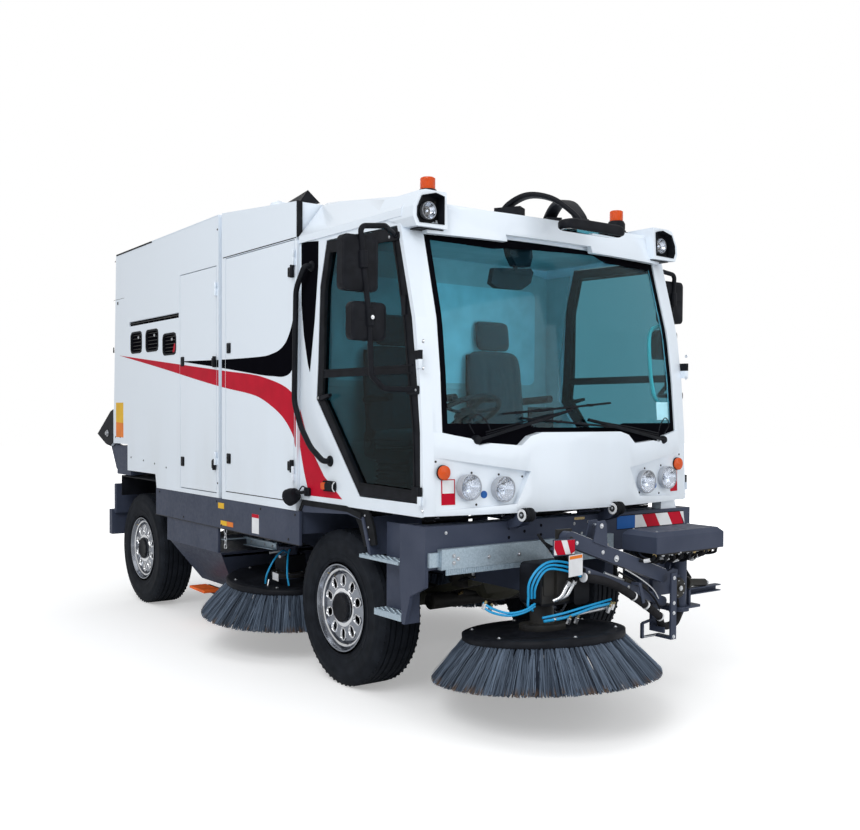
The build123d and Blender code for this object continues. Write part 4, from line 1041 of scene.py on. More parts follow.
lamps = Piece("lamp_units")
for s in (-1, 1):
    for inward, y, z, radius in ((0.243, -0.942, 1.191, 0.068), (0.453, -0.962, 1.175, 0.068)):
        lamp_unit(lamps, s * (1 - inward), y, z, radius, 9)
    lamp_unit(lamps, s * 0.888, -0.752, 2.590, 0.045, 0)
    amber_lamp(lamps, (s * 0.895, -0.903, 1.267), forward, 0.036, 0.026)
    beacon_lamp(lamps, s * 0.731, -0.550, 2.680)
    for x in (0.780, 0.900):
        amber_lamp(lamps, (s * x, wheelbase + 0.585, 0.620), backward, 0.047, 0.019,
                   "red_lens" if x > 0.8 else "amber")
lamps.done("lamp_lens", replaces=("lamps",))

for hand, sign in sides:
    pod = Piece(f"lamp_pod_lining_{hand}", side=sign).use("black_plastic")
    outline = [(0.8135, 2.5235), (0.9675, 2.5195), (0.9825, 2.5505), (0.9785, 2.5955), (0.949, 2.654),
               (0.868, 2.6745), (0.8135, 2.6625)]
    middle = Vector((0.895, 2.595))
    inner = [tuple(middle + (Vector(p) - middle) * 0.93) for p in outline]
    lip = [tuple(middle + (Vector(p) - middle) * 1.03) for p in outline]
    rows = [[(x, -0.802, z) for x, z in lip], [(x, -0.804, z) for x, z in outline],
            [(x, -0.7475, z) for x, z in inner]]
    pod.loft(rows, caps=False)
    pod.slab([(x, -0.7475, z) for x, z in inner], (0, 0.0012, 0))
    pod.use("dark_steel")
    pod.heads(pod_screw, [(x, -0.7475, z) for x, z in ((0.833, 2.64), (0.833, 2.54), (0.955, 2.54))],
              forward, 10)
    pod.use("black_plastic").block((0.795, 0.955), (-0.772, -0.700), (2.4955, 2.5))
    pod.done("black_plastic")

    trim = Piece(f"front_trim_{hand}", side=sign)
    dot = [(0.654 + 0.019 * math.cos(a), 1.150 + 0.019 * math.sin(a))
           for a in (math.tau * n / 24 for n in range(24))]
    trim.use("blue_film").slab([(x, front_y(x, z) - 0.0035, z) for x, z in dot], (0, 0.003, 0))
    for tone, low, high, lift, edge in (("red_film", 1.104, 1.233, 0.0008, 0),
                                        ("white_film", 1.162, 1.228, 0.0016, 0.006)):
        trim.use(tone).loft(on_glass([((0.824 + edge, low), (0.824 + edge, high)),
                                      ((0.902 - edge, low), (0.902 - edge, high))], lift))
    trim.use("dark_steel")
    spots = ((0.930, 1.322), (0.725, 1.262), (0.560, 1.250), (0.410, 1.235), (0.505, 1.112), (0.700, 1.100))
    trim.heads(front_screw, [(x, front_y(x, z) + 0.001, z) for x, z in spots], forward)
    trim.done("white_paint")

boss = Piece("front_boss").use("white_paint")
rows = []
for z, half, rise in ((1.132, 0.255, 0.0005), (1.150, 0.265, 0.007), (1.180, 0.272, 0.009),
                      (1.240, 0.285, 0.009), (1.300, 0.310, 0.009), (1.350, 0.335, 0.009),
                      (1.400, 0.352, 0.008), (1.425, 0.356, 0.0005)):
    xs = [-half - 0.030, -half - 0.015] + [half * n / 6
                                           for n in range(-6, 7)] + [half + 0.015, half + 0.030]
    front = [(x, front_y(x, z) - rise * min(1.0, max(0.05, (half + 0.030 - abs(x)) / 0.030)), z)
             for x in xs]
    rows.append(front + [(x, front_y(x, z) + 0.004, z) for x in reversed(xs)])
boss.loft(rows)
boss.done("white_paint", sharp=60)

glass = Piece("windshield_band").use("black_film")
low = [(0.888, 1.466), (0.735, 1.436), (0.690, 1.402), (0.620, 1.412), (0.435, 1.398), (0.375, 1.447),
       (0.300, 1.466)]
low = low + [(-x, z) for x, z in reversed(low)]
glass.loft(on_glass([((x, z), (x, 1.512 if abs(x) > 0.32 else 1.490)) for x, z in low]))
for s in (-1, 1):
    glass.loft(on_glass([((s * 0.888, 1.50), (s * 0.852, 1.50)), ((s * 0.8765, 2.498), (s * 0.840, 2.498))],
                        steps=12))
glass.loft(on_glass([((-0.876, 2.455), (-0.876, 2.499)), ((-0.45, 2.440), (-0.45, 2.499)),
                     ((-0.36, 2.452), (-0.36, 2.499)), ((0.30, 2.476), (0.30, 2.499)),
                     ((0.40, 2.440), (0.40, 2.499)), ((0.876, 2.446), (0.876, 2.499))]))
glass.done("tinted_glass")

wiper = Piece("wipers").use("black_plastic")
for pivot, tip, ends in (((-0.699, 1.429), (-0.060, 1.585), ((-0.524, 1.562), (0.263, 1.626))),
                         ((0.736, 1.413), (0.067, 1.532), ((-0.410, 1.540), (0.400, 1.482)))):
    wiper.lathe(((0.024, -0.045), (0.024, 0.012), (0.018, 0.024), (0, 0.026)), off_glass(*pivot, 0.018),
                (0, -1, 0.1), 18)
    reach = [tuple(a + (b - a) * t for a, b in zip(pivot, tip)) for t in (0, 0.15, 0.4, 0.7, 1)]
    wiper.sweep([off_glass(x, z, 0.034 - 0.012 * n / 4) for n, (x, z) in enumerate(reach)], 0.011, 8, 0.6)
    for offset in (0.020, 0.008):
        wiper.pipe([off_glass(pivot[0] + 0.05 * math.copysign(1, tip[0] - pivot[0]),
                              pivot[1] + offset + 0.02, 0.030),
                    off_glass((pivot[0] + tip[0]) / 2, (pivot[1] + tip[1]) / 2 + offset, 0.026),
                    off_glass(*tip, 0.018)], 0.0035, 0.05, 6)
    blade = [tuple(a + (b - a) * n / 10 for a, b in zip(*ends)) for n in range(11)]
    wiper.sweep([off_glass(x, z, 0.014 + 0.003 * math.sin(math.pi * n / 10))
                 for n, (x, z) in enumerate(blade)], 0.006, 8)
    wiper.sweep([off_glass(x, z, 0.006) for x, z in blade], 0.004, 6)
    for t in (0.12, 0.32, 0.55, 0.78):
        x, z = [a + (b - a) * t for a, b in zip(*ends)]
        wiper.sweep([off_glass(x - 0.02, z, 0.018), off_glass(x + 0.02, z, 0.018)], 0.0075, 8)
    a, b = ends
    wiper.sweep([off_glass(a[0] + (b[0] - a[0]) * t, a[1] + (b[1] - a[1]) * t,
                           0.014 + 0.012 * math.sin(math.pi * t)) for t in (0.12, 0.3, 0.5, 0.65, 0.78)],
                0.005, 8)
    side_way = math.copysign(1, tip[0] - pivot[0])
    loop = [(pivot[0] - 0.01 * side_way, -0.925, pivot[1] + 0.03),
            (pivot[0] - 0.05 * side_way, -0.932, pivot[1] + 0.09), (pivot[0], -0.945, pivot[1] + 0.13),
            (pivot[0] + 0.05 * side_way, -0.952, pivot[1] + 0.09),
            (pivot[0] + 0.07 * side_way, -0.956, pivot[1] + 0.05)]
    wiper.hose(loop, 0.0032, 6)
wiper.done("black_plastic")

mirror_feet = ((-0.263, -0.600), (0.190, -0.500))          # (x, y) of the screen mirror's arms on the roof
roof = Piece("roof_trim")
roof.use("black_plastic")
for x in (-0.755, 0.755):
    roof.lathe(((0.072, 0), (0.070, 0.006), (0, 0.006)), (x - math.copysign(0.024, x), -0.550, 2.676),
               upward, 28)
for start in mirror_feet:
    toward = Vector((-0.03 - start[0], -1.0 - start[1], 0)).normalized()
    across = Vector((-toward.y, toward.x, 0))
    middle = Vector((start[0], start[1], 2.70)) + toward * 0.03
    base = [middle + across * a * 0.045 + toward * b
            for a, b in ((-1, -0.05), (1, -0.05), (1, 0.10), (-1, 0.10))]
    roof.slab(base, (0, 0, -0.040))
roof.use("dark_steel")
spots = ((-0.62, -0.735), (0.62, -0.735), (-0.30, -0.745), (0.45, -0.745))
roof.heads(visor_screw, [(x, y, 2.62) for x, y in spots], (0, -1, 0.3))
roof.done("black_plastic")

pad = Piece("screen_mirror_face")
pad.use("black_plastic")
arch = ((0, 2.630), (0.1, 2.712), (0.35, 2.762), (0.65, 2.732), (0.9, 2.645), (1, 2.588))
section = [(0.038 * math.copysign(abs(math.cos(a)) ** 0.5, math.cos(a)),
            0.0145 * math.copysign(abs(math.sin(a)) ** 0.5, math.sin(a)))
           for a in (math.tau * n / 20 for n in range(20))]
for start in mirror_feet:
    way = Vector((-0.030 - start[0], -1.0 - start[1], 0))
    path = smooth([(start[0] + way.x * share, start[1] + way.y * share, z) for share, z in arch])
    side_way = Vector((way.y, -way.x, 0)).normalized()
    rows = []
    for n, point in enumerate(path):
        tangent = (Vector(path[min(n + 1, len(path) - 1)]) - Vector(path[max(n - 1, 0)])).normalized()
        up = side_way.cross(tangent)
        rows.append([Vector(point) + side_way * u + up * v for u, v in section])
    pad.loft(rows)
pad.loft([[(0.010 + (x - 0.010) * size, -1.035 + (y + 1.035) * size, z)
           for x, y in rounded_outline((-0.220, 0.240), (-1.085, -0.985), 0.045)]
          for z, size in ((2.5350, 0.90), (2.5400, 0.97), (2.5480, 1.0), (2.5720, 1.0), (2.5840, 0.95),
                          (2.5900, 0.84))])
pad.use("mirror").upright(rounded_outline((-0.200, 0.220), (-1.070, -1.000), 0.026), (2.5335, 2.5352))
pad.use("black_plastic").rod((-0.075, -1.0, 2.60), (0.015, -1.0, 2.60), 0.016)
pad.use("steel").bolt((-0.078, -1.0, 2.60), (-1, 0, 0), 0.010)
pad.bolt((0.018, -1.0, 2.60), outward, 0.010)
pad.done("black_plastic", replaces=("screen_mirror",), sharp=50)


# ---------------------------------------------------------------- cab doors, mirrors and steps
mirror_y = {"right": -0.750, "left": -0.550}


def shrunk(points, middle, by):
    """The outline with each point moved towards the middle."""
    return [tuple(Vector(p) + (middle - Vector(p)).normalized() * by) for p in points]


for hand, sign in sides:
    piece = Piece(f"cab_door_trim_{hand}", f"cab_door_{hand}", sign)
    tube_y = mirror_y[hand]
    for near, far, low, high in ((0.178, 0.388, 2.158, 2.429), (0.129, 0.336, 1.920, 2.108)):
        x = (1 + near, 1 + far)
        rim = rounded_outline(x, (low, high), 0.03)
        middle = Vector((sum(x) / 2, (low + high) / 2))
        back = [tuple(middle + (Vector(p) - middle) * 0.80) for p in rim]
        piece.use("black_plastic")
        shell = [[(a, tube_y + 0.016, b) for a, b in rim],
                 [(middle.x + (a - middle.x) * 0.95, tube_y + 0.0075, middle.y + (b - middle.y) * 0.96)
                  for a, b in rim], [(a, tube_y + 0.001, b) for a, b in back]]
        piece.loft(shell)
        piece.slab([(a, tube_y + 0.0545, b) for a, b in rim], (0, 0.003, 0))
        face = [(middle.x + (a - middle.x) * 0.93, tube_y + 0.0572, middle.y + (b - middle.y) * 0.95)
                for a, b in rim]
        piece.use("mirror").slab(face, (0, 0.0012, 0))
        piece.use("black_plastic")
        for fold in (-0.055, 0.055):
            piece.block((middle.x + fold - 0.022, middle.x + fold + 0.022),
                        (tube_y - 0.001, tube_y + 0.004),
                        (high - (high - low) * 0.48, high - (high - low) * 0.48 + 0.006))
    for out, z in ((0.2765, 2.310), (0.2350, 2.030)):
        piece.use("black_plastic").rod((1 + out - 0.006, tube_y - 0.003, z - 0.042),
                                       (1 + out, tube_y - 0.003, z + 0.042), 0.0225, 16)
        piece.block((1 + out - 0.020, 1 + out + 0.020), (tube_y - 0.004, tube_y + 0.014),
                    (z - 0.035, z + 0.035))
    piece.use("bright_steel").bolt((1.233, tube_y - 0.0255, 2.030), forward, 0.010)
    for y, z in ((-0.630, 2.466), (-0.805, 1.678)):
        piece.use("black_plastic").across(rounded_outline((y - 0.045, y + 0.045), (z - 0.022, z + 0.022),
                                                          0.012), (1.0005, 1.013))
        piece.use("steel")
        for dy in (-0.030, 0.030):
            piece.bolt((1.013, y + dy, z), outward, 0.008)
    # The window seal, the latch lever and the sliding pane's frame.
    outline = [(0.030, 2.520), (0.100, 2.285), (0.121, 1.846), (0.135, 1.643), (-0.312, 1.122),
               (-0.848, 1.122), (-0.843, 1.468), (-0.811, 1.763), (-0.771, 2.043), (-0.645, 2.508)]
    middle = Vector((-0.36, 1.83))
    outer, inner = (shrunk(outline, middle, by) for by in (0.050, 0.064))
    piece.use("rubber").loft([[(1.0005, *p) for p in outer], [(1.004, *p) for p in outer],
                              [(1.004, *p) for p in inner], [(0.990, *p) for p in inner]], caps=False)
    piece.use("black_plastic").across([(0.105, 1.655), (-0.020, 1.672), (-0.022, 1.655), (0.060, 1.635),
                                       (0.105, 1.635)], (1.0005, 1.022))
    piece.rod((1.001, 0.088, 1.648), (1.024, 0.088, 1.648), 0.019, 20)
    piece.use("steel").lathe(((0.008, 0), (0.008, 0.002), (0, 0.003)), (1.024, 0.088, 1.648), outward, 14)
    piece.use("black_plastic").across([(0.060, 1.800), (-0.790, 1.800), (-0.792, 1.808), (0.060, 1.808)],
                                      (1.0003, 1.004))
    piece.across([(0.060, 1.762), (-0.785, 1.762), (-0.784, 1.770), (0.060, 1.770)], (1.0003, 1.004))
    piece.block((1.0003, 1.007), (-0.735, -0.700), (2.06, 2.16))
    piece.done("black_plastic")

    hinge = Piece(f"cab_hinge_trim_{hand}", "chassis", sign)
    hinge.use("bright_steel")
    for z in (1.060, 1.100, 1.768, 1.900):
        hinge.bolt((1.0005, -0.880, z + 0.018), outward, 0.010)
    hinge.use("white_paint").block((0.985, 1.002), (-0.874, 0.235), (1.045, 1.052))
    hinge.done("white_paint")

    step = Piece(f"step_treads_{hand}", side=sign)
    for y, z in (((-0.694, -0.330), 0.800), ((-0.718, -0.475), 0.530)):
        step.use("galvanised_steel").block((0.931, 1.014), (y[0] + 0.001, y[1] - 0.001),
                                           (z - 0.001, z + 0.002))
        count = int((y[1] - y[0]) / 0.026)
        for n in range(count):
            middle = y[0] + (y[1] - y[0]) * (n + 0.5) / count
            for m in range(3):
                x = 0.947 + 0.025 * m + (0.012 if n % 2 else 0)
                if x > 1.005:
                    continue
                step.use("galvanised_steel").lathe(((0.0095, 0), (0.0080, 0.004), (0.0055, 0.005)),
                                                   (x, middle, z + 0.002), upward, 12, caps=False)
                # A black disc in each hole: painted shade seen through the hole.
                step.use("black_film").lathe(((0.0055, 0.0), (0.0055, 0.0045), (0, 0.0045)),
                                             (x, middle, z + 0.002), upward, 10)
        teeth = int((y[1] - y[0]) / 0.012)
        for n in range(teeth):
            middle = y[0] + (y[1] - y[0]) * (n + 0.5) / teeth
            step.use("galvanised_steel").slab([(1.0145, middle - 0.005, z), (1.0145, middle + 0.005, z),
                                               (1.0145, middle, z + 0.006)], (-0.003, 0, 0))
    step.done("galvanised_steel")

for hand, sign in sides:
    flap = Piece(f"step_flap_{hand}", "chassis", sign).use("rubber")
    flap.across([(-0.160, 1.048), (-0.240, 1.010), (-0.290, 0.950), (-0.325, 0.885), (-0.345, 0.839),
                 (-0.455, 0.862), (-0.440, 0.930), (-0.415, 0.990), (-0.380, 1.048)], (0.978, 0.992))
    flap.use("steel")
    for y, z in ((-0.395, 0.885), (-0.385, 0.950), (-0.350, 1.010)):
        flap.bolt((0.992, y, z), outward, 0.006)
    flap.done("black_plastic", bevel=0.003)


# ---------------------------------------------------------------- inside the cab
def pillow(piece, place, size, crown, channels=(), lean=0.0, steps=28):
    """A crowned cushion with sewn channels, whose edges pull in between its corners."""
    half = Vector(size) / 2
    turn = Matrix.Translation(place) @ Matrix.Rotation(lean, 4, "X")
    rows = {1: [], -1: []}
    for top in (1, -1):
        for i in range(steps + 1):
            row = []
            u = math.sin((i / steps - 0.5) * math.pi)
            for j in range(steps + 1):
                v = math.sin((j / steps - 0.5) * math.pi)
                pull = 1 - 0.035 * (1 - u * u) * abs(v) ** 3
                pull_other = 1 - 0.035 * (1 - v * v) * abs(u) ** 3
                round_off = 1 - 0.10 * (abs(u) * abs(v)) ** 6
                x, y = half.x * v * pull_other * round_off, half.y * u * pull * round_off
                rise = (1 - abs(u) ** 5) ** 0.5 * (1 - abs(v) ** 5) ** 0.5
                z = half.z * rise * (1 + crown * (1 - u * u) * (1 - v * v) if top > 0 else 0.8)
                for axis, where, depth in channels:
                    distance = (x if axis == "x" else y) - where
                    if top > 0:
                        z -= depth * math.exp(-(distance / 0.009) ** 2) * rise
                row.append(turn @ Vector((x, y, top * z)))
            rows[top].append(row)
    for top in (1, -1):
        piece.loft(rows[top], closed=False)
    top = rows[1]
    return (top[0] + [row[-1] for row in top[1:]] + top[-1][-2::-1] + [row[0] for row in top[-2:0:-1]])


def make_seat(name, x):
    """A suspension seat: base, cushion and back with sewn channels and piping, and a headrest."""
    base = Piece(f"{name}_base").use("black_plastic")
    base.block((x - 0.17, x + 0.17), (-0.19, 0.19), (1.106, 1.135))
    for n in range(5):
        z = 1.135 + 0.030 * n
        low = rounded_outline((x - 0.155, x + 0.155), (-0.175, 0.175), 0.03)
        wide = rounded_outline((x - 0.175, x + 0.175), (-0.195, 0.195), 0.03)
        base.loft([[(a, b, z) for a, b in low], [(a, b, z + 0.015) for a, b in wide],
                   [(a, b, z + 0.030) for a, b in low]])
    base.upright(rounded_outline((x - 0.215, x + 0.215), (-0.235, 0.215), 0.05), (1.285, 1.345))
    base.use("steel").rod((x - 0.16, -0.245, 1.305), (x + 0.16, -0.245, 1.305), 0.008)
    base.use("black_plastic")
    for s in (-1, 1):
        base.across(rounded_outline((0.10, 0.20), (1.30, 1.46), 0.03),
                    (x + s * 0.225 - 0.008, x + s * 0.225 + 0.008))
        base.rod((x + s * 0.225, 0.155, 1.385), (x + s * 0.245, 0.155, 1.385), 0.030, 20)
        base.pipe(((x + s * 0.215, 0.200, 1.64), (x + s * 0.238, 0.170, 1.645),
                   (x + s * 0.238, -0.080, 1.660)), 0.024, 0.03, 12)
    shell = [(0.185, 1.44), (0.235, 1.44), (0.285, 1.90), (0.280, 1.94), (0.258, 1.95)]
    base.across(shell, (x - 0.195, x + 0.195))
    for dx in (-0.055, 0.055):
        base.use("steel").rod((x + dx, 0.255, 1.92), (x + dx, 0.262, 2.04), 0.006)
    base.done("black_plastic", bevel=0.004)
    lean = math.radians(83)
    parts = (("cushion", (x, -0.020, 1.405), (0.47, 0.47, 0.115), 0.16,
              (("x", -0.125, 0.011), ("x", 0.125, 0.011), ("y", 0.10, 0.007), ("y", -0.06, 0.007)), 0.0),
             ("back", (x, 0.190, 1.700), (0.44, 0.54, 0.110), 0.22,
              (("x", -0.120, 0.011), ("x", 0.120, 0.011), ("y", 0.09, 0.007), ("y", -0.08, 0.007)), lean),
             ("headrest", (x, 0.232, 2.075), (0.27, 0.185, 0.085), 0.25, (), lean))
    made = []
    for part, place, size, crown, channels, tilt in parts:
        piece = Piece(f"{name}_{part}").use("seat_cloth")
        edge = pillow(piece, place, size, crown, channels, tilt)
        piece.use("piping").sweep(edge + edge[:1], 0.0042, 8)
        obj = piece.done("seat_cloth", sharp=80)
        made.append(obj)
    return made


driver = make_seat("driver_seat", -0.400)
make_seat("passenger_seat", 0.400)
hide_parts("seats")

inside = Piece("cab_fittings")
inside.use("black_plastic").block((-0.955, 0.955), (-0.84, 0.290), (1.1055, 1.112))
for n in range(22):
    y = -0.54 + 0.036 * n
    inside.block((-0.94, 0.94), (y, y + 0.010), (1.112, 1.1155))
inside.use("lining")
inside.along([(-0.955, 1.112), (0.955, 1.112), (0.955, 2.50), (0.60, 2.56), (-0.60, 2.56), (-0.955, 2.50)],
             (0.283, 0.2965))
inside.along(rounded_outline((-0.87, 0.87), (1.72, 2.44), 0.06), (0.272, 0.283))
inside.use("rear_pane").along(rounded_outline((-0.82, 0.82), (1.76, 2.40), 0.05), (0.268, 0.272))
inside.use("lining")
inside.block((-0.90, 0.90), (-0.62, 0.24), (2.555, 2.575))
for s in (-1, 1):
    inside.across([(0.06, 2.50), (0.282, 2.50), (0.282, 1.11), (-0.28, 1.11), (0.165, 1.66), (0.15, 1.90)],
                  (s * 0.942, s * 0.952))
inside.use("black_plastic")
top = [(-0.838, 1.396), (-0.845, 1.412), (-0.78, 1.424), (-0.66, 1.420), (-0.625, 1.392)]
inside.across(top, (-0.87, 0.87))
inside.across([(-0.66, 1.30), (-0.60, 1.29), (-0.585, 1.315), (-0.62, 1.40), (-0.68, 1.45), (-0.73, 1.455),
               (-0.76, 1.42)], (-0.62, -0.18))
inside.use("display").across([(-0.6445, 1.400), (-0.6805, 1.446), (-0.6795, 1.4475), (-0.6435, 1.4015)],
                             (-0.57, -0.23))
inside.use("black_plastic").slab([(-0.10, -0.66, 1.43), (0.10, -0.63, 1.43), (0.10, -0.63, 1.60),
                                  (-0.10, -0.66, 1.60)], (0.004, -0.028, 0))
inside.use("display").slab([(-0.088, -0.657, 1.445), (0.088, -0.631, 1.445), (0.088, -0.631, 1.585),
                            (-0.088, -0.657, 1.585)], (-0.0002, 0.0015, 0))
inside.use("black_plastic").rod((0, -0.67, 1.40), (0, -0.66, 1.46), 0.012)
for n in range(6):
    x = 0.18 + 0.11 * n
    inside.use("black_film").across([(-0.72, 1.4235), (-0.68, 1.4225), (-0.68, 1.4240), (-0.72, 1.4250)],
                                    (x, x + 0.08))
inside.use("grey_plastic").block((-0.10, 0.11), (-0.55, 0.10), (1.112, 1.30))
inside.upright(rounded_outline((-0.09, 0.10), (-0.52, 0.08), 0.03), (1.30, 1.335))
for n in range(4):
    x = -0.02 + 0.03 * (n % 2)
    y = -0.44 + 0.09 * n
    inside.use("black_plastic").rod((x, y + 0.02, 1.335), (x, y, 1.39), 0.007)
    inside.lathe(((0, 0), (0.013, 0.004), (0.014, 0.014), (0, 0.020)), (x, y, 1.385), upward, 14)
inside.use("black_plastic")
hub = Vector((-0.400, -0.470, 1.560))
spin = Matrix.Translation(hub) @ turned_to((0, 0.150, 0.260))
ring = [spin @ Vector((0.200 * math.cos(a), 0.200 * math.sin(a), 0))
        for a in (math.tau * n / 48 for n in range(49))]
inside.sweep(ring, 0.0158, 12)
inside.turn = spin
inside.lathe(((0.060, -0.03), (0.066, 0.0), (0.055, 0.016), (0.030, 0.022), (0, 0.023)), (0, 0, 0), upward,
             28)
for a in (0.35, math.pi - 0.35, -math.pi / 2):
    inside.sweep([(0.05 * math.cos(a), 0.05 * math.sin(a), 0.004),
                  (0.12 * math.cos(a), 0.12 * math.sin(a), -0.004),
                  (0.195 * math.cos(a), 0.195 * math.sin(a), 0)], 0.0175, 10, 0.55)
inside.turn = Matrix.Identity(4)
inside.lathe(((0.062, 0), (0.055, 0.03), (0.040, 0.11), (0.036, 0.19)), (-0.400, -0.640, 1.265),
             (0, 0.150, 0.260), 20)
block = [(-0.335, 2.495), (-0.165, 2.495), (-0.175, 2.42), (-0.205, 2.365), (-0.305, 2.365), (-0.330, 2.42)]
rows = [[(x, front_y(x, z) + 0.024, z) for x, z in block],
        [(-0.25 + (x + 0.25) * 0.85, front_y(x, z) + 0.085, z) for x, z in block]]
inside.loft(rows)
mirror = [(-0.425, 2.345), (-0.150, 2.365), (-0.130, 2.345), (-0.150, 2.285), (-0.215, 2.245),
          (-0.400, 2.240), (-0.445, 2.262)]
inside.slab([(x, -0.735 + 0.02 * (x + 0.3), z) for x, z in mirror], (0, 0.035, 0))
middle = Vector((-0.29, 2.30))
inside.use("mirror").slab([(middle.x + (x - middle.x) * 0.92, -0.6995 + 0.02 * (x + 0.3),
                            middle.y + (z - middle.y) * 0.88) for x, z in mirror], (0, 0.001, 0))
inside.use("black_plastic").rod((-0.255, -0.735, 2.38), (-0.280, -0.720, 2.33), 0.012)
inside.use("teal_tube").pipe(((0.930, -0.745, 2.111), (0.822, -0.745, 2.080), (0.795, -0.760, 1.990),
                              (0.785, -0.785, 1.800), (0.805, -0.800, 1.650), (0.930, -0.800, 1.600)),
                             0.012, 0.05, 12)
label = [(0.724, 1.530), (0.855, 1.530), (0.855, 1.636), (0.724, 1.636)]
inside.use("white_film").slab([(x, front_y(x, z) + 0.0215, z) for x, z in label], (0, 0.0008, 0))
for dx in (-0.8, 0.8):
    inside.use("black_plastic").block((dx - 0.14, dx + 0.14), (-0.70, -0.60), (2.535, 2.552))
inside.done("black_plastic", bevel=0.0015)


# ---------------------------------------------------------------- front gear
def screws(piece, places, direction, size, material="bright_steel"):
    """The same bolt at several places."""
    piece.use(material)
    for place in places:
        piece.bolt(place, direction, size)


bar = Piece("bar_trim")
screws(bar, ((-0.856, bar_y, 0.852), (-0.829, bar_y, 0.836), (-0.856, bar_y, 0.817), (-0.627, bar_y, 0.830),
             (-0.419, bar_y, 0.828), (-0.20, bar_y, 0.828), (0.05, bar_y, 0.828), (0.25, bar_y, 0.828)),
       forward, 0.0115, "steel")
bar.use("galvanised_steel").block((-0.904, 0.29), (-0.946, -0.9445), (0.757, 0.786))
for n in range(98):
    x = -0.900 + 0.0121 * n
    bar.use("galvanised_steel").block((x, x + 0.006), (-0.9485, -0.946), (0.757, 0.786))
bar.use("galvanised_steel").block((-0.995, -0.935), (-0.932, -0.9155), (0.800, 0.872))
bar.block((-0.934, -0.928), (-0.9515, -0.917), (0.785, 0.888))
bar.done("galvanised_steel")

beam = Piece("beam_trim")
beam.use("blue_film").block((0.363, 0.515), (-0.9175, -0.9155), (0.905, 0.978))
skew = 0.045
stripes = [(0.515, 0.575, "white_film"), (0.575, 0.690, "red_film"), (0.690, 0.800, "white_film"),
           (0.800, 0.915, "red_film"), (0.915, 0.947, "white_film")]
for start, end, tone in stripes:
    low = [max(start + (skew if start > 0.52 else 0), 0.515), min(end + skew, 0.947)]
    high = [start, min(end, 0.947)]
    if low[1] - low[0] > 0.002:
        beam.use(tone).along([(low[0], 0.905), (low[1], 0.905), (high[1], 0.978), (high[0], 0.978)],
                             (-0.9175, -0.9155))
    else:
        beam.use(tone).along([(low[0], 0.905), (high[1], 0.978), (high[0], 0.978)], (-0.9175, -0.9155))
beam.use("black_plastic").block((0.363, 0.950), (-0.9155, -0.9148), (0.900, 0.983))
beam.use("white_paint").along([(0.760, 1.000), (0.900, 1.000), (0.885, 1.048), (0.765, 1.048)],
                              (-0.900, -0.83))
for x0 in (-0.470, 0.207):
    arm = [(-0.915, 0.960), (-0.900, 1.0005), (-0.955, 1.020), (-1.000, 1.060), (-1.045, 1.058),
           (-1.050, 1.025), (-1.000, 0.985)]
    beam.use("grey_paint").across(arm, (x0 + 0.062, x0 + 0.077))
    beam.across(arm, (x0 + 0.004, x0 + 0.010))
    beam.use("rubber").lathe(((0.014, 0), (0.036, 0.004), (0.0375, 0.020), (0.030, 0.027), (0.030, 0.037),
                              (0.0375, 0.044), (0.036, 0.060), (0.014, 0.064)),
                             (x0 + 0.0065, -1.022, 1.040), outward, 28)
    beam.use("white_film").lathe(((0.017, 0), (0.031, 0), (0.032, 0.004), (0.017, 0.004)),
                                 (x0 + 0.0040, -1.022, 1.040), (-1, 0, 0), 28, caps=False)
    beam.use("dark_steel").lathe(((0.019, 0.0), (0.018, 0.006), (0, 0.006)), (x0 + 0.0040, -1.022, 1.040),
                                 (-1, 0, 0), 20)
    beam.use("steel").bolt((x0 - 0.0020, -1.022, 1.040), (-1, 0, 0), 0.010)
screws(beam, [(x, beam_y, z) for x, z in ((0.02, 0.958), (0.08, 0.900), (0.13, 0.962), (0.20, 0.955),
                                          (-0.88, 0.965))], forward, 0.009, "steel")
beam.use("black_film")
spots = ((-0.46, 0.914), (-0.46, 0.964), (-0.23, 0.914), (-0.23, 0.964), (-0.35, 0.940))
beam.heads(beam_plug, [(x, beam_y, z) for x, z in spots], forward, 16)
beam.use("brass").block((0.02, 0.10), (-0.9165, -0.915), (0.978, 0.992))
beam.use("rubber")
chance = random.Random(5)
for n in range(5):
    path = [(-0.92 + 0.28 * k, -0.80 + 0.02 * n + chance.uniform(-0.02, 0.02),
             1.012 + 0.008 * n + chance.uniform(-0.004, 0.008)) for k in range(7)]
    beam.hose(path, 0.006 + 0.002 * (n % 3), 8)
beam.use("steel")
for n in range(7):
    x = -0.86 + 0.23 * n
    beam.rod((x, -0.79, 1.016), (x + 0.035, -0.785, 1.024), 0.008, 8)
beam.done("grey_paint")

cover = Piece("cover_trim").use("grey_paint")
screws(cover, [(x, y, 0.935) for x in (0.25, 0.71) for y in (-1.30, -1.14)], upward, 0.0075, "steel")
chance = random.Random(9)
for n in range(20):
    x = 0.23 + 0.026 * n
    y = -1.325 + chance.uniform(0, 0.05)
    z = 0.818
    drop = chance.uniform(0.028, 0.062)
    drift = chance.uniform(-0.09, 0.09)
    tone = chance.choice(("rubber", "rubber", "foam", "black_plastic"))
    path = [(x, y, z), (x + drift * 0.2, y - 0.004, z - drop * 0.6), (x + drift * 0.6, y + 0.05, z - drop),
            (x + drift, y + 0.12, z - drop * 0.7), (min(max(x + drift, 0.22), 0.74), -1.145, z - 0.012)]
    cover.use(tone).hose(path, chance.uniform(0.0065, 0.0095), 8)
    fitting = Vector(path[0])
    cover.use("steel" if n % 3 else "brass").rod(fitting + Vector((0, 0, 0.004)),
                                                 fitting - Vector((0, 0, 0.016)), 0.0105, 6)
    if n % 3 == 0:
        cover.use("white_film").sweep(smooth(path)[8:12], 0.0105, 8)
cover.use("dark_steel").block((0.24, 0.73), (-1.33, -1.13), (0.812, 0.822))
cover.done("grey_paint")

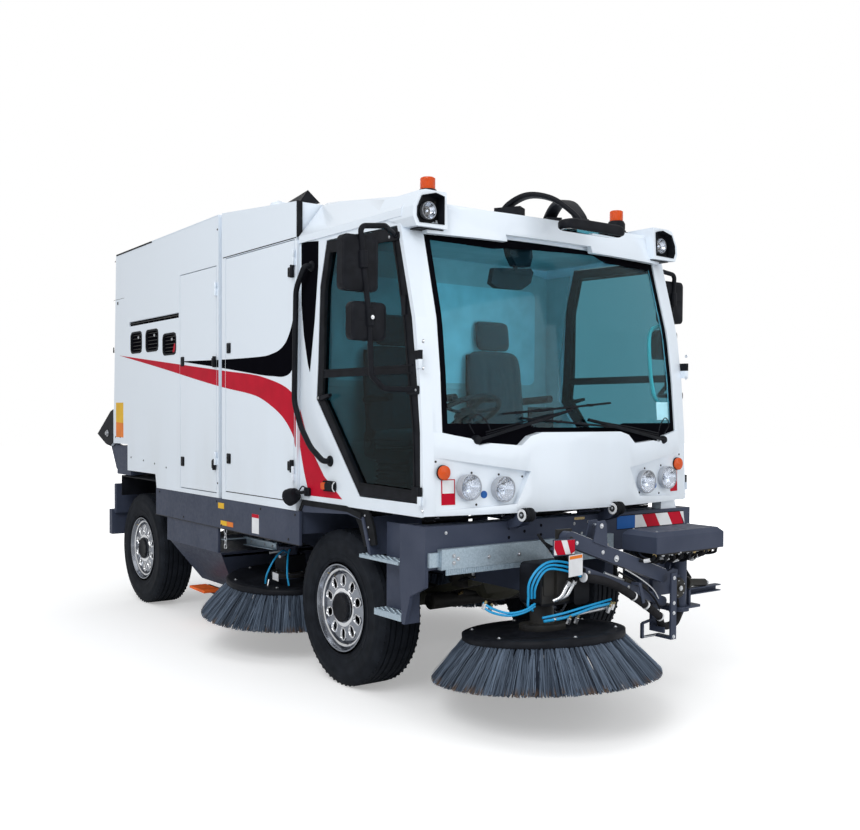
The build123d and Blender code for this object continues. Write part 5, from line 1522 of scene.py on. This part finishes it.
across_arm = Vector((0.250, 0, 0.716)).normalized()
high_arm = Piece("front_arm_trim", "front_arm")
# A bright steel strip along the arm's top edge: a painted highlight.
start = Vector((0.386, arm_y, 0.680)) + across_arm * 0.0382
end = Vector((-0.330, arm_y, 0.930)) + across_arm * 0.0382
high_arm.use("bright_steel").slab([start, end, end + across_arm * 0.0012, start + across_arm * 0.0012],
                                  (0, 0.012, 0))
screws(high_arm, ((-0.290, arm_y, 0.908), (-0.099, arm_y, 0.846)), forward, 0.011)
screws(high_arm, ((0.003, arm_y, 0.805),), forward, 0.0175)
gusset = [(-0.175, 0.905), (-0.155, 0.975), (-0.150, 1.010), (-0.090, 1.012), (-0.078, 0.990),
          (-0.070, 0.870)]
high_arm.use("grey_paint").along(gusset, (-1.2465, -1.2405))
high_arm.along(gusset, (-1.1895, -1.1835))
screws(high_arm, ((-0.118, -1.2465, 0.985),), forward, 0.0135)
high_arm.use("bright_steel").rod((-0.118, arm_y, 0.985), (-0.118, -1.190, 0.985), 0.010)
high_arm.use("foam")
lower = [(-0.262, -1.262, 0.732), (-0.12, -1.266, 0.702), (0.001, -1.267, 0.654), (0.110, -1.266, 0.598),
         (0.205, -1.262, 0.545)]
high_arm.hose(lower, 0.0225, 16)
high_arm.hose([(0.225, -1.262, 0.532), (0.300, -1.255, 0.487), (0.346, -1.245, 0.462)], 0.0215, 16)
high_arm.use("white_film")
for point, way in ((lower[0], (1, 0, -0.25)), (lower[3], (1, 0, -0.52)),
                   ((0.214, -1.262, 0.539), (1, 0, -0.6)), ((0.352, -1.244, 0.458), (1, 0, -0.5))):
    high_arm.rod(Vector(point) - Vector(way) * 0.005, Vector(point) + Vector(way) * 0.005, 0.0245, 18)
high_arm.use("rubber")
for n in range(4):
    high_arm.hose([(-0.255, -1.250 + 0.006 * n, 0.735), (-0.315, -1.245, 0.745 + 0.012 * n),
                   (-0.375, -1.215, 0.800 + 0.02 * n), (-0.430 - 0.012 * n, -1.190, 0.880 + 0.012 * n),
                   (-0.475, -1.150, 0.955)], 0.0075, 8)
high_arm.hose([(0.01, -1.252, 0.735), (0.15, -1.256, 0.665), (0.27, -1.256, 0.585), (0.345, -1.250, 0.505)],
              0.0055, 8)
high_arm.use("bright_steel").hose([(0.06, -1.248, 0.745), (0.17, -1.250, 0.690), (0.280, -1.250, 0.620),
                                   (0.335, -1.246, 0.560)], 0.0042, 8)
high_arm.use("grey_paint").block((0.118, 0.136), (-1.292, -1.2425), (0.658, 0.672))
high_arm.along([(0.118, 0.672), (0.138, 0.672), (0.172, 0.565), (0.152, 0.560)], (-1.2945, -1.289))
high_arm.block((0.155, 0.172), (-1.292, -1.2425), (0.560, 0.573))
high_arm.done("grey_paint")

low_arm = Piece("front_link_trim", "front_link")
screws(low_arm, ((0.10, arm_y, 0.645), (-0.20, arm_y, 0.750)), forward, 0.009, "steel")
low_arm.use("dark_steel").rod((0.09, -1.215, 0.678), (0.26, -1.215, 0.618), 0.019, 18)
low_arm.use("bright_steel").rod((-0.06, -1.215, 0.731), (0.09, -1.215, 0.678), 0.008, 14)
low_arm.done("grey_paint")

turret = Piece("turret_trim", "front_turret")
screws(turret, ((0.4005, -1.185, 0.700), (0.4005, -1.185, 0.474), (0.4005, -1.185, 0.385)), forward, 0.011)
turret.use("grey_paint").along([(0.408, 0.66), (0.53, 0.70), (0.575, 0.69), (0.575, 0.66), (0.42, 0.62)],
                               (-1.182, -1.170))
turret.use("dark_steel").lathe(((0.030, 0), (0.056, 0.004), (0.058, 0.012), (0.058, 0.030), (0.050, 0.038),
                                (0.022, 0.040), (0.020, 0.046), (0, 0.046)), (0.560, -1.170, 0.590),
                               forward, 32)
screws(turret, ((0.560, -1.216, 0.590),), forward, 0.014)
screws(turret, [(0.560 + 0.043 * math.cos(a), -1.206, 0.590 + 0.043 * math.sin(a))
                for a in (0.5, 1.8, 3.0, 4.3, 5.5)], forward, 0.0065, "steel")
turret.use("foam").hose([(0.352, arm_y, 0.455), (0.400, -1.215, 0.405), (0.470, -1.195, 0.385),
                         (0.560, -1.180, 0.395), (0.600, -1.170, 0.450), (0.590, -1.160, 0.520)], 0.0205,
                        14)
turret.use("white_film").rod((0.520, -1.187, 0.388), (0.532, -1.185, 0.389), 0.0225, 18)
turret.use("grey_paint").block((0.386, 0.430), (-1.292, -1.280), (0.335, 0.700))
turret.block((0.386, 0.430), (-1.280, -1.170), (0.335, 0.347))
screws(turret, [(0.408, -1.292, z) for z in (0.672, 0.535, 0.480, 0.350)], forward, 0.011)
turret.use("grey_paint").block((0.270, 0.286), (-1.190, -1.176), (0.338, 0.420))
turret.block((0.270, 0.404), (-1.188, -1.178), (0.338, 0.350))
turret.rod((0.278, -1.183, 0.420), (0.362, -1.178, 0.430), 0.008)
turret.use("steel").rod((0.290, -1.183, 0.344), (0.390, -1.183, 0.344), 0.007)
turret.done("grey_paint")

post = Piece("turret_post_trim")
post.use("grey_paint").pipe(((0.600, -1.105, 0.450), (0.672, -1.100, 0.352), (0.740, -1.100, 0.450)), 0.009,
                            0.02, 10)
post.rod((0.672, -1.100, 0.352), (0.672, -1.100, 0.450), 0.008)
post.block((0.585, 0.755), (-1.110, -1.092), (0.442, 0.4505))
post.upright(rounded_outline((0.565, 0.760), (-1.205, -1.080), 0.02), (0.4645, 0.476))
post.block((0.690, 0.706), (-1.170, -1.120), (0.476, 0.560))
post.across([(-1.165, 0.528), (-1.125, 0.528), (-1.125, 0.566), (-1.165, 0.566), (-1.165, 0.560),
             (-1.131, 0.560), (-1.131, 0.534), (-1.165, 0.534)], (0.700, 0.985))
post.use("dark_steel").rod((0.700, -1.145, 0.600), (0.860, -1.145, 0.585), 0.022, 20)
post.rod((0.690, -1.145, 0.600), (0.712, -1.145, 0.600), 0.034, 20)
post.use("steel").rod((0.860, -1.145, 0.585), (0.885, -1.145, 0.583), 0.012, 12)
post.use("rubber")
for n in range(5):
    post.hose([(0.60 + 0.02 * n, -1.06, 0.76), (0.66 + 0.02 * n, -1.075, 0.71),
               (0.70 + 0.015 * n, -1.09, 0.66), (0.72 + 0.012 * n, -1.12, 0.615)], 0.0065, 8)
screws(post, ((0.590, -1.2105, 0.802), (0.650, -1.2105, 0.802)), forward, 0.009)
post.done("grey_paint")


hub_piece = Piece("front_hub_trim", "front_hub")
hub_piece.use("black_plastic").along(rounded_outline((-0.470, -0.205), (0.585, 0.800), 0.03),
                                     (-1.1640, -1.010))
hub_piece.along(rounded_outline((-0.262, -0.150), (0.580, 0.735), 0.022), (-1.196, -1.1660))
hub_piece.use("dark_steel").along(rounded_outline((-0.450, -0.375), (0.640, 0.780), 0.012),
                                  (-1.170, -1.1640))
screws(hub_piece, ((-0.330, -1.1855, 0.955), (-0.300, -1.1855, 0.700)), forward, 0.010)
hub_piece.use("white_film").along([(-0.470, 0.862), (-0.328, 0.858), (-0.328, 0.930), (-0.470, 0.934)],
                                  (-1.2630, -1.2610))
hub_piece.use("red_film")
for points in ([(-0.470, 0.898), (-0.470, 0.934), (-0.424, 0.933), (-0.392, 0.860), (-0.450, 0.8615)],
               [(-0.382, 0.9315), (-0.328, 0.930), (-0.328, 0.872), (-0.355, 0.859)]):
    hub_piece.along(points, (-1.2640, -1.2630))
hub_piece.use("grey_paint").along([(-0.476, 0.856), (-0.322, 0.852), (-0.322, 0.936), (-0.476, 0.940)],
                                  (-1.2610, -1.2570))
hub_piece.block((-0.440, -0.420), (-1.2570, -1.185), (0.880, 0.892))
hub_piece.use("white_film").along([(-0.402, 0.750), (-0.306, 0.755), (-0.306, 0.862), (-0.402, 0.858)],
                                  (-1.2975, -1.2955))
hub_piece.use("orange_film").along([(-0.398, 0.838), (-0.310, 0.842), (-0.310, 0.858), (-0.398, 0.854)],
                                   (-1.2985, -1.2975))
hub_piece.use("grey_paint").block((-0.350, -0.330), (-1.2955, -1.185), (0.838, 0.848))
hub_piece.use("blue_hose")
for n in range(3):
    d = 0.014 * n
    hub_piece.hose([(-0.560 + d * 1.5, -1.175, 0.640), (-0.565 + d * 1.5, -1.185, 0.720 - d),
                    (-0.520 + d, -1.200, 0.790 - d), (-0.440, -1.210, 0.822 - d * 1.3),
                    (-0.360, -1.260, 0.812 - d * 1.5), (-0.290, -1.270, 0.770 - d)], 0.0062, 8)
hub_piece.hose([(-0.560, -1.175, 0.650), (-0.556, -1.170, 0.600), (-0.520, -1.165, 0.575)], 0.0062, 8)
for n in range(2):
    hub_piece.hose([(-0.520, -1.180, 0.600 + 0.012 * n), (-0.600, -1.190, 0.580 + 0.010 * n),
                    (-0.690, -1.180, 0.572 + 0.012 * n), (-0.770, -1.150, 0.590 + 0.02 * n),
                    (-0.800, -1.110, 0.615 + 0.02 * n)], 0.0062, 8)
hub_piece.hose([(-0.520, -1.245, 0.535), (-0.420, -1.275, 0.545), (-0.310, -1.285, 0.562),
                (-0.200, -1.275, 0.575), (-0.080, -1.255, 0.575), (-0.020, -1.235, 0.572)], 0.0075, 8)
hub_piece.hose([(-0.520, -1.235, 0.550), (-0.400, -1.262, 0.565), (-0.280, -1.268, 0.580),
                (-0.150, -1.255, 0.588), (-0.020, -1.225, 0.590)], 0.0062, 8)
hub_piece.use("steel")
hub_piece.rod((-0.470, -1.262, 0.540), (-0.060, -1.245, 0.556), 0.010, 12)
for x, y, z in ((-0.395, -1.285, 0.530), (-0.345, -1.290, 0.528), (-0.060, -1.250, 0.560),
                (-0.030, arm_y, 0.555), (-0.085, -1.262, 0.548), (-0.800, -1.110, 0.620),
                (-0.770, -1.120, 0.605)):
    hub_piece.use("bright_steel").rod((x, y, z - 0.016), (x + 0.006, y - 0.008, z + 0.014), 0.011, 6)
    hub_piece.use("brass").rod((x + 0.006, y - 0.008, z + 0.014), (x + 0.010, y - 0.014, z + 0.026), 0.007,
                               8)
hub_piece.use("bright_steel")
for x, z in ((-0.372, 0.650), (-0.330, 0.655)):
    hub_piece.pipe(((x - 0.030, -1.188, z - 0.035), (x, -1.212, z - 0.018), (x + 0.042, -1.216, z + 0.045)),
                   0.0105, 0.02, 10)
    hub_piece.rod((x + 0.040, -1.216, z + 0.040), (x + 0.052, -1.217, z + 0.060), 0.014, 6)
hub_piece.use("rubber").hose([(-0.290, -1.225, 0.715), (-0.250, -1.235, 0.735), (-0.245, -1.250, 0.765),
                              (-0.262, -1.262, 0.772)], 0.010, 10)
hub_piece.done("black_plastic", bevel=0.002)

for hand, sign in sides:
    motor = Piece(f"side_hub_trim_{hand}", f"side_hub_{hand}", sign)
    motor.turn = tilted(side_disc_place, side_disc_tilt)
    motor.use("dark_steel").lathe(((0.123, 0.006), (0.123, 0.026), (0.115, 0.033), (0.065, 0.035)),
                                  (0, 0, 0), upward, 40, caps=False)
    screws(motor, [(0.098 * math.cos(a), 0.098 * math.sin(a), 0.031)
                   for a in (math.tau * n / 6 for n in range(6))], upward, 0.009)
    motor.use("black_plastic").block((-0.075, 0.075), (-0.085, 0.065), (0.045, 0.150))
    motor.use("steel").rod((0.050, -0.060, 0.165), (0.120, -0.085, 0.155), 0.012, 10)
    motor.rod((0.050, 0.030, 0.165), (0.120, 0.060, 0.155), 0.012, 10)
    motor.use("blue_hose").hose([(0.05, -0.06, 0.17), (0.12, -0.12, 0.20), (0.20, -0.15, 0.15),
                                 (0.245, -0.14, 0.06), (0.250, -0.13, 0.00)], 0.0060, 8)
    motor.hose([(0.04, -0.07, 0.17), (0.10, -0.19, 0.22), (0.16, -0.27, 0.20), (0.20, -0.33, 0.10),
                (0.19, -0.335, 0.02)], 0.0060, 8)
    motor.use("bright_steel").rod((0.235, -0.150, 0.030), (0.262, -0.170, -0.050), 0.0065, 10)
    handle = [(0.262, -0.172, -0.050), (0.285, -0.205, -0.095), (0.285, -0.165, -0.118),
              (0.285, -0.125, -0.095), (0.262, -0.160, -0.050)]
    motor.pipe(handle, 0.0050, 0.01, 8)
    motor.pipe(((0.262, -0.166, -0.052), (0.285, -0.165, -0.116)), 0.0045, 0.01, 8)
    motor.use("white_film").block((0.205, 0.209), (-0.225, -0.150), (0.028, 0.076))
    motor.done("grey_paint", bevel=0.0015)

    arm = Piece(f"side_arm_trim_{hand}", f"side_arm_{hand}", sign)
    arm.use("galvanised_steel").across([(1.46, 0.757), (1.17, 0.808), (1.165, 0.801), (1.455, 0.750)],
                                       (0.662, 0.710))
    screws(arm, ((0.7125, 1.42, 0.742), (0.7125, 1.30, 0.762), (0.7125, 1.22, 0.776)), outward, 0.009)
    arm.done("grey_paint")

    lower = Piece(f"side_link_trim_{hand}", f"side_link_{hand}", sign)
    lower.use("grey_paint").rod((0.730, 1.43, 0.664), (0.730, 1.28, 0.690), 0.022, 18)
    lower.use("bright_steel").rod((0.730, 1.28, 0.690), (0.730, 1.20, 0.704), 0.011, 14)
    lower.use("steel").rod((0.712, 1.22, 0.700), (0.738, 1.22, 0.700), 0.010, 12)
    lower.rod((0.712, 1.41, 0.667), (0.738, 1.41, 0.667), 0.010, 12)
    lower.done("grey_paint")


# ---------------------------------------------------------------- chassis, rear and roof
under = Piece("axle_gear")
under.use("axle_green")
under.lathe(((0.05, 0), (0.10, 0.03), (0.115, 0.09), (0.115, 0.20), (0.095, 0.26), (0.05, 0.30)),
            (-0.15, -0.32, 0.565), outward, 32)
under.block((-0.24, 0.24), (-0.50, -0.16), (0.665, 0.760))
under.along([(-0.20, 0.52), (0.20, 0.52), (0.24, 0.60), (0.24, 0.67), (-0.24, 0.67), (-0.24, 0.60)],
            (-0.44, -0.20))
under.use("dark_steel").rod((-0.44, -0.200, 0.462), (0.44, -0.200, 0.462), 0.048, 18)
under.rod((-0.26, -0.215, 0.500), (0.26, -0.215, 0.500), 0.036, 24)
for x in (-0.26, 0.26, -0.10):
    under.use("brass").rod((x, -0.255, 0.500), (x, -0.285, 0.512), 0.010, 8)
under.use("dark_steel")
for x in (-0.37, -0.30, 0.36):
    under.rod((x, -0.52, 0.66), (x + 0.02, -0.30, 0.60), 0.022, 14)
under.block((-0.40, -0.27), (-0.46, -0.36), (0.575, 0.72))
under.block((0.29, 0.40), (-0.46, -0.30), (0.60, 0.74))
for n in range(9):
    x = -0.36 + 0.085 * n
    under.use("brass").rod((x, -0.515, 0.640 + 0.02 * (n % 3)),
                           (x + 0.045, -0.525, 0.640 + 0.02 * (n % 3) + 0.006), 0.0085, 8)
    under.use("rubber").hose([(x, -0.50, 0.645), (x - 0.04, -0.45, 0.62 - 0.02 * (n % 2)),
                              (x + 0.02, -0.33, 0.60), (x + 0.06, -0.20, 0.64)], 0.010, 8)
under.use("bright_steel").rod((-0.38, -0.53, 0.70), (-0.38, -0.53, 0.655), 0.010, 8)
under.rod((-0.05, -0.53, 0.70), (-0.05, -0.53, 0.650), 0.010, 8)
under.rod((-0.05, -0.53, 0.672), (0.035, -0.53, 0.678), 0.009, 8)
under.use("dark_steel")
for y0, y1, z in ((-0.44, 3.2, 0.700), (-0.40, 3.1, 0.660)):
    under.hose([(0.24, y0, z), (0.235, y0 + 1.1, z - 0.02), (0.24, y0 + 2.2, z + 0.01), (0.235, y1, z)],
               0.011, 8)
under.rod((0.0, 0.20, 0.640), (0.0, 2.78, 0.480), 0.042, 20)
under.block((-0.15, 0.15), (1.30, 1.36), (0.60, 0.70))
under.done("grey_paint")

for hand, sign in sides:
    skirt = Piece(f"skirt_trim_{hand}", side=sign)
    skirt.use("dark_steel")
    spots = ((0.36, 0.955), (0.44, 0.800), (0.80, 0.955), (1.36, 0.800), (1.44, 0.955), (2.00, 0.800),
             (2.45, 0.955))
    skirt.heads(skirt_rivet, [(side_x, y, z) for y, z in spots], outward, 14)
    skirt.block((0.9985, 1.0215), (0.312, 2.53), (0.774, 0.7775))
    for tone, y, z in (("yellow_film", (1.325, 1.415), (0.912, 0.950)),
                       ("yellow_film", (1.282, 1.375), (0.800, 0.832)),
                       ("orange_film", (1.187, 1.278), (0.800, 0.832))):
        skirt.use(tone).block((side_x, side_x + 0.0012), y, z)
    skirt.use("galvanised_steel").across([(1.030, 0.652), (1.460, 0.640), (1.460, 0.700), (1.030, 0.700)],
                                         (0.778, 0.783))
    skirt.across([(1.030, 0.652), (1.460, 0.640), (1.460, 0.645), (1.030, 0.657)], (0.783, 0.808))
    skirt.block((0.783, 0.808), (1.030, 1.460), (0.695, 0.700))
    skirt.block((0.783, 0.985), (1.410, 1.450), (0.690, 0.695))
    skirt.use("steel")
    for y in (1.08, 1.19, 1.38):
        skirt.bolt((0.783, y, 0.672), outward, 0.009)
    skirt.use("white_film").block((side_x, side_x + 0.0011), (0.820, 0.915), (0.792, 0.915))
    skirt.use("red_film").block((1.0211, 1.0217), (0.820, 0.915), (0.892, 0.915))
    skirt.use("bright_steel")
    for n in range(5):
        flat = n % 2
        link = [(0.985 + 0.009 * math.cos(a) * (1 - flat), 1.375 + 0.010 * math.cos(a) * flat,
                 0.755 - 0.026 * n + 0.017 * math.sin(a)) for a in (math.tau * m / 12 for m in range(13))]
        skirt.sweep(link, 0.0028, 6)
    skirt.use("rubber").across([(0.340, 0.985), (0.300, 1.050), (-0.180, 1.050), (-0.330, 1.020),
                                (-0.330, 0.990), (-0.190, 1.018), (0.288, 1.018), (0.312, 0.985)],
                               (0.80, 1.006))
    skirt.use("grey_paint").across([(0.310, 0.985), (0.297, 0.975), (-0.190, 1.005), (-0.330, 0.985),
                                    (-0.40, 0.80), (-0.425, 0.805), (-0.345, 1.000), (-0.195, 1.0175),
                                    (0.290, 1.0175)], (0.62, 1.000))
    skirt.done("grey_paint")

    mark = Piece(f"side_marker_{hand}", side=sign)
    mark.use("rubber").across(rounded_outline((-0.075, 0.065), (1.118, 1.178), 0.020), (1.0012, 1.010))
    mark.use("black_plastic").across(rounded_outline((-0.062, 0.010), (1.126, 1.170), 0.016),
                                     (1.010, 1.030))
    mark.use("amber").across(rounded_outline((0.010, 0.058), (1.128, 1.168), 0.014), (1.010, 1.026))
    mark.use("white_film").pipe(((1.012, -0.070, 1.175), (1.030, -0.078, 1.160), (1.030, -0.078, 1.135),
                                 (1.012, -0.070, 1.120)), 0.003, 0.01, 6)
    mark.done("lamp_lens")

    work = Piece(f"work_lamp_{hand}", side=sign)
    work.use("black_plastic").lathe(((0.020, 0), (0.040, 0.012), (0.050, 0.045), (0.052, 0.075),
                                     (0.048, 0.080)), (1.040, 0.300, 1.085), (0.25, 0.9, -0.35), 24)
    work.use("clear").lathe(((0.047, 0.078), (0.030, 0.083), (0, 0.085)), (1.040, 0.300, 1.085),
                            (0.25, 0.9, -0.35), 24)
    work.use("black_plastic").rod((1.010, 0.235, 1.100), (1.045, 0.300, 1.090), 0.010)
    work.across(rounded_outline((0.205, 0.265), (1.075, 1.125), 0.012), (1.0012, 1.015))
    work.use("rubber").hose([(1.036, 0.290, 1.098), (1.020, 0.275, 1.130), (1.008, 0.255, 1.122)], 0.004, 6)
    work.done("black_plastic")

    roof_cap = Piece(f"engine_roof_trim_{hand}", side=sign)
    if sign < 0:
        wedge = [(0.985, 2.815), (0.930, 2.890), (0.845, 2.822)]
        roof_cap.use("black_plastic").loft([[(x, 0.370, z) for x, z in wedge],
                                            [(x, 0.700, 2.835 + (z - 2.815) * 0.15) for x, z in wedge]])
        roof_cap.use("white_paint").lathe(((0.062, 0), (0.062, 0.022), (0.052, 0.044), (0.030, 0.055),
                                           (0, 0.058)), (0.905, 0.770, 2.836), upward, 28)
    roof_cap.use("dark_steel")
    roof_cap.heads(roof_screw, [(0.70, y, 2.810 + (y - 0.352) / 1.005 * 0.088) for y in (0.45, 0.90, 1.30)],
                   upward)
    roof_cap.done("white_paint")

    rear = Piece(f"tip_bracket_trim_{hand}", "hopper", sign)
    plate = [(3.400, 1.301), (3.400, 1.602), (3.5275, 1.5685), (3.8570, 1.3715), (3.6415, 1.2885),
             (3.530, 1.2725), (3.470, 1.3005)]
    rear.use("black_plastic").across([(y, z)
                                      for y, z in plate if y > 3.45] + [(3.462, 1.302), (3.462, 1.586)],
                                     (1.0203, 1.0215))
    rear.across([(3.462, 1.302), (3.462, 1.586), (3.5285, 1.5700), (3.8575, 1.3725), (3.6415, 1.2875),
                 (3.530, 1.2715)], (0.9945, 0.9958))
    for a, b in zip(plate[2:5], plate[3:6]):
        normal = Vector((a[1] - b[1], b[0] - a[0])).normalized() * -0.0012
        rear.across([a, b, (b[0] - normal.x, b[1] - normal.y), (a[0] - normal.x, a[1] - normal.y)],
                    (0.9945, 1.0215))
    rear.use("steel").bolt((1.0215, 3.600, 1.380), outward, 0.030)
    rear.done("black_plastic")

    strip = Piece(f"hopper_roof_strip_{hand}", "hopper", sign)
    z0, z1 = [2.898 - 0.025 * (y - 1.409) / 1.974 for y in (2.593, 3.370)]
    strip.use("rubber").across([(2.593, z0 - 0.012), (3.370, z1 - 0.012), (3.370, z1 - 0.001),
                                (2.593, z0 - 0.001)], (1.0195, 1.0235))
    strip.use("white_paint").across([(1.409, 2.897), (2.593, z0 - 0.001), (2.593, z0 - 0.006),
                                     (1.409, 2.892)], (1.0195, 1.0225))
    strip.done("white_paint")

tail = Piece("tailgate_trim", "tailgate").use("white_paint")
for x in (-0.55, 0.0, 0.55):
    tail.along([(x - 0.03, 1.66), (x + 0.03, 1.66), (x + 0.03, 2.70), (x - 0.03, 2.70)], (3.430, 3.4702))
tail.done("white_paint", bevel=0.004)

back = Piece("rear_trim")
back.use("galvanised_steel").along(rounded_outline((-0.27, 0.27), (0.555, 0.680), 0.01), (3.6302, 3.633))
back.use("grey_paint").block((-0.97, -0.62), (bumper_y, bumper_y + 0.010), (0.52, 0.53))
back.block((0.62, 0.97), (bumper_y, bumper_y + 0.010), (0.52, 0.53))
back.use("rubber")
for s in (-1, 1):
    back.along(rounded_outline((s * 0.84 - 0.115, s * 0.84 + 0.115), (0.560, 0.680), 0.02),
               (3.6302, 3.6310))
screws(back, [(s * x, bumper_y, z) for s in (-1, 1) for x in (0.35, 0.55) for z in (0.56, 0.68)], backward,
       0.012, "steel")
back.use("orange_plastic").across([(1.845, 0.252), (2.10, 0.258), (2.10, 0.275), (1.835, 0.272)],
                                  (-0.93, -0.80))
back.use("rubber")
for x in ((-0.735, -0.722), (0.722, 0.735)):
    back.across([(1.835, 0.250), (2.20, 0.250), (2.20, 0.190), (1.86, 0.190)], x)
back.done("grey_paint")
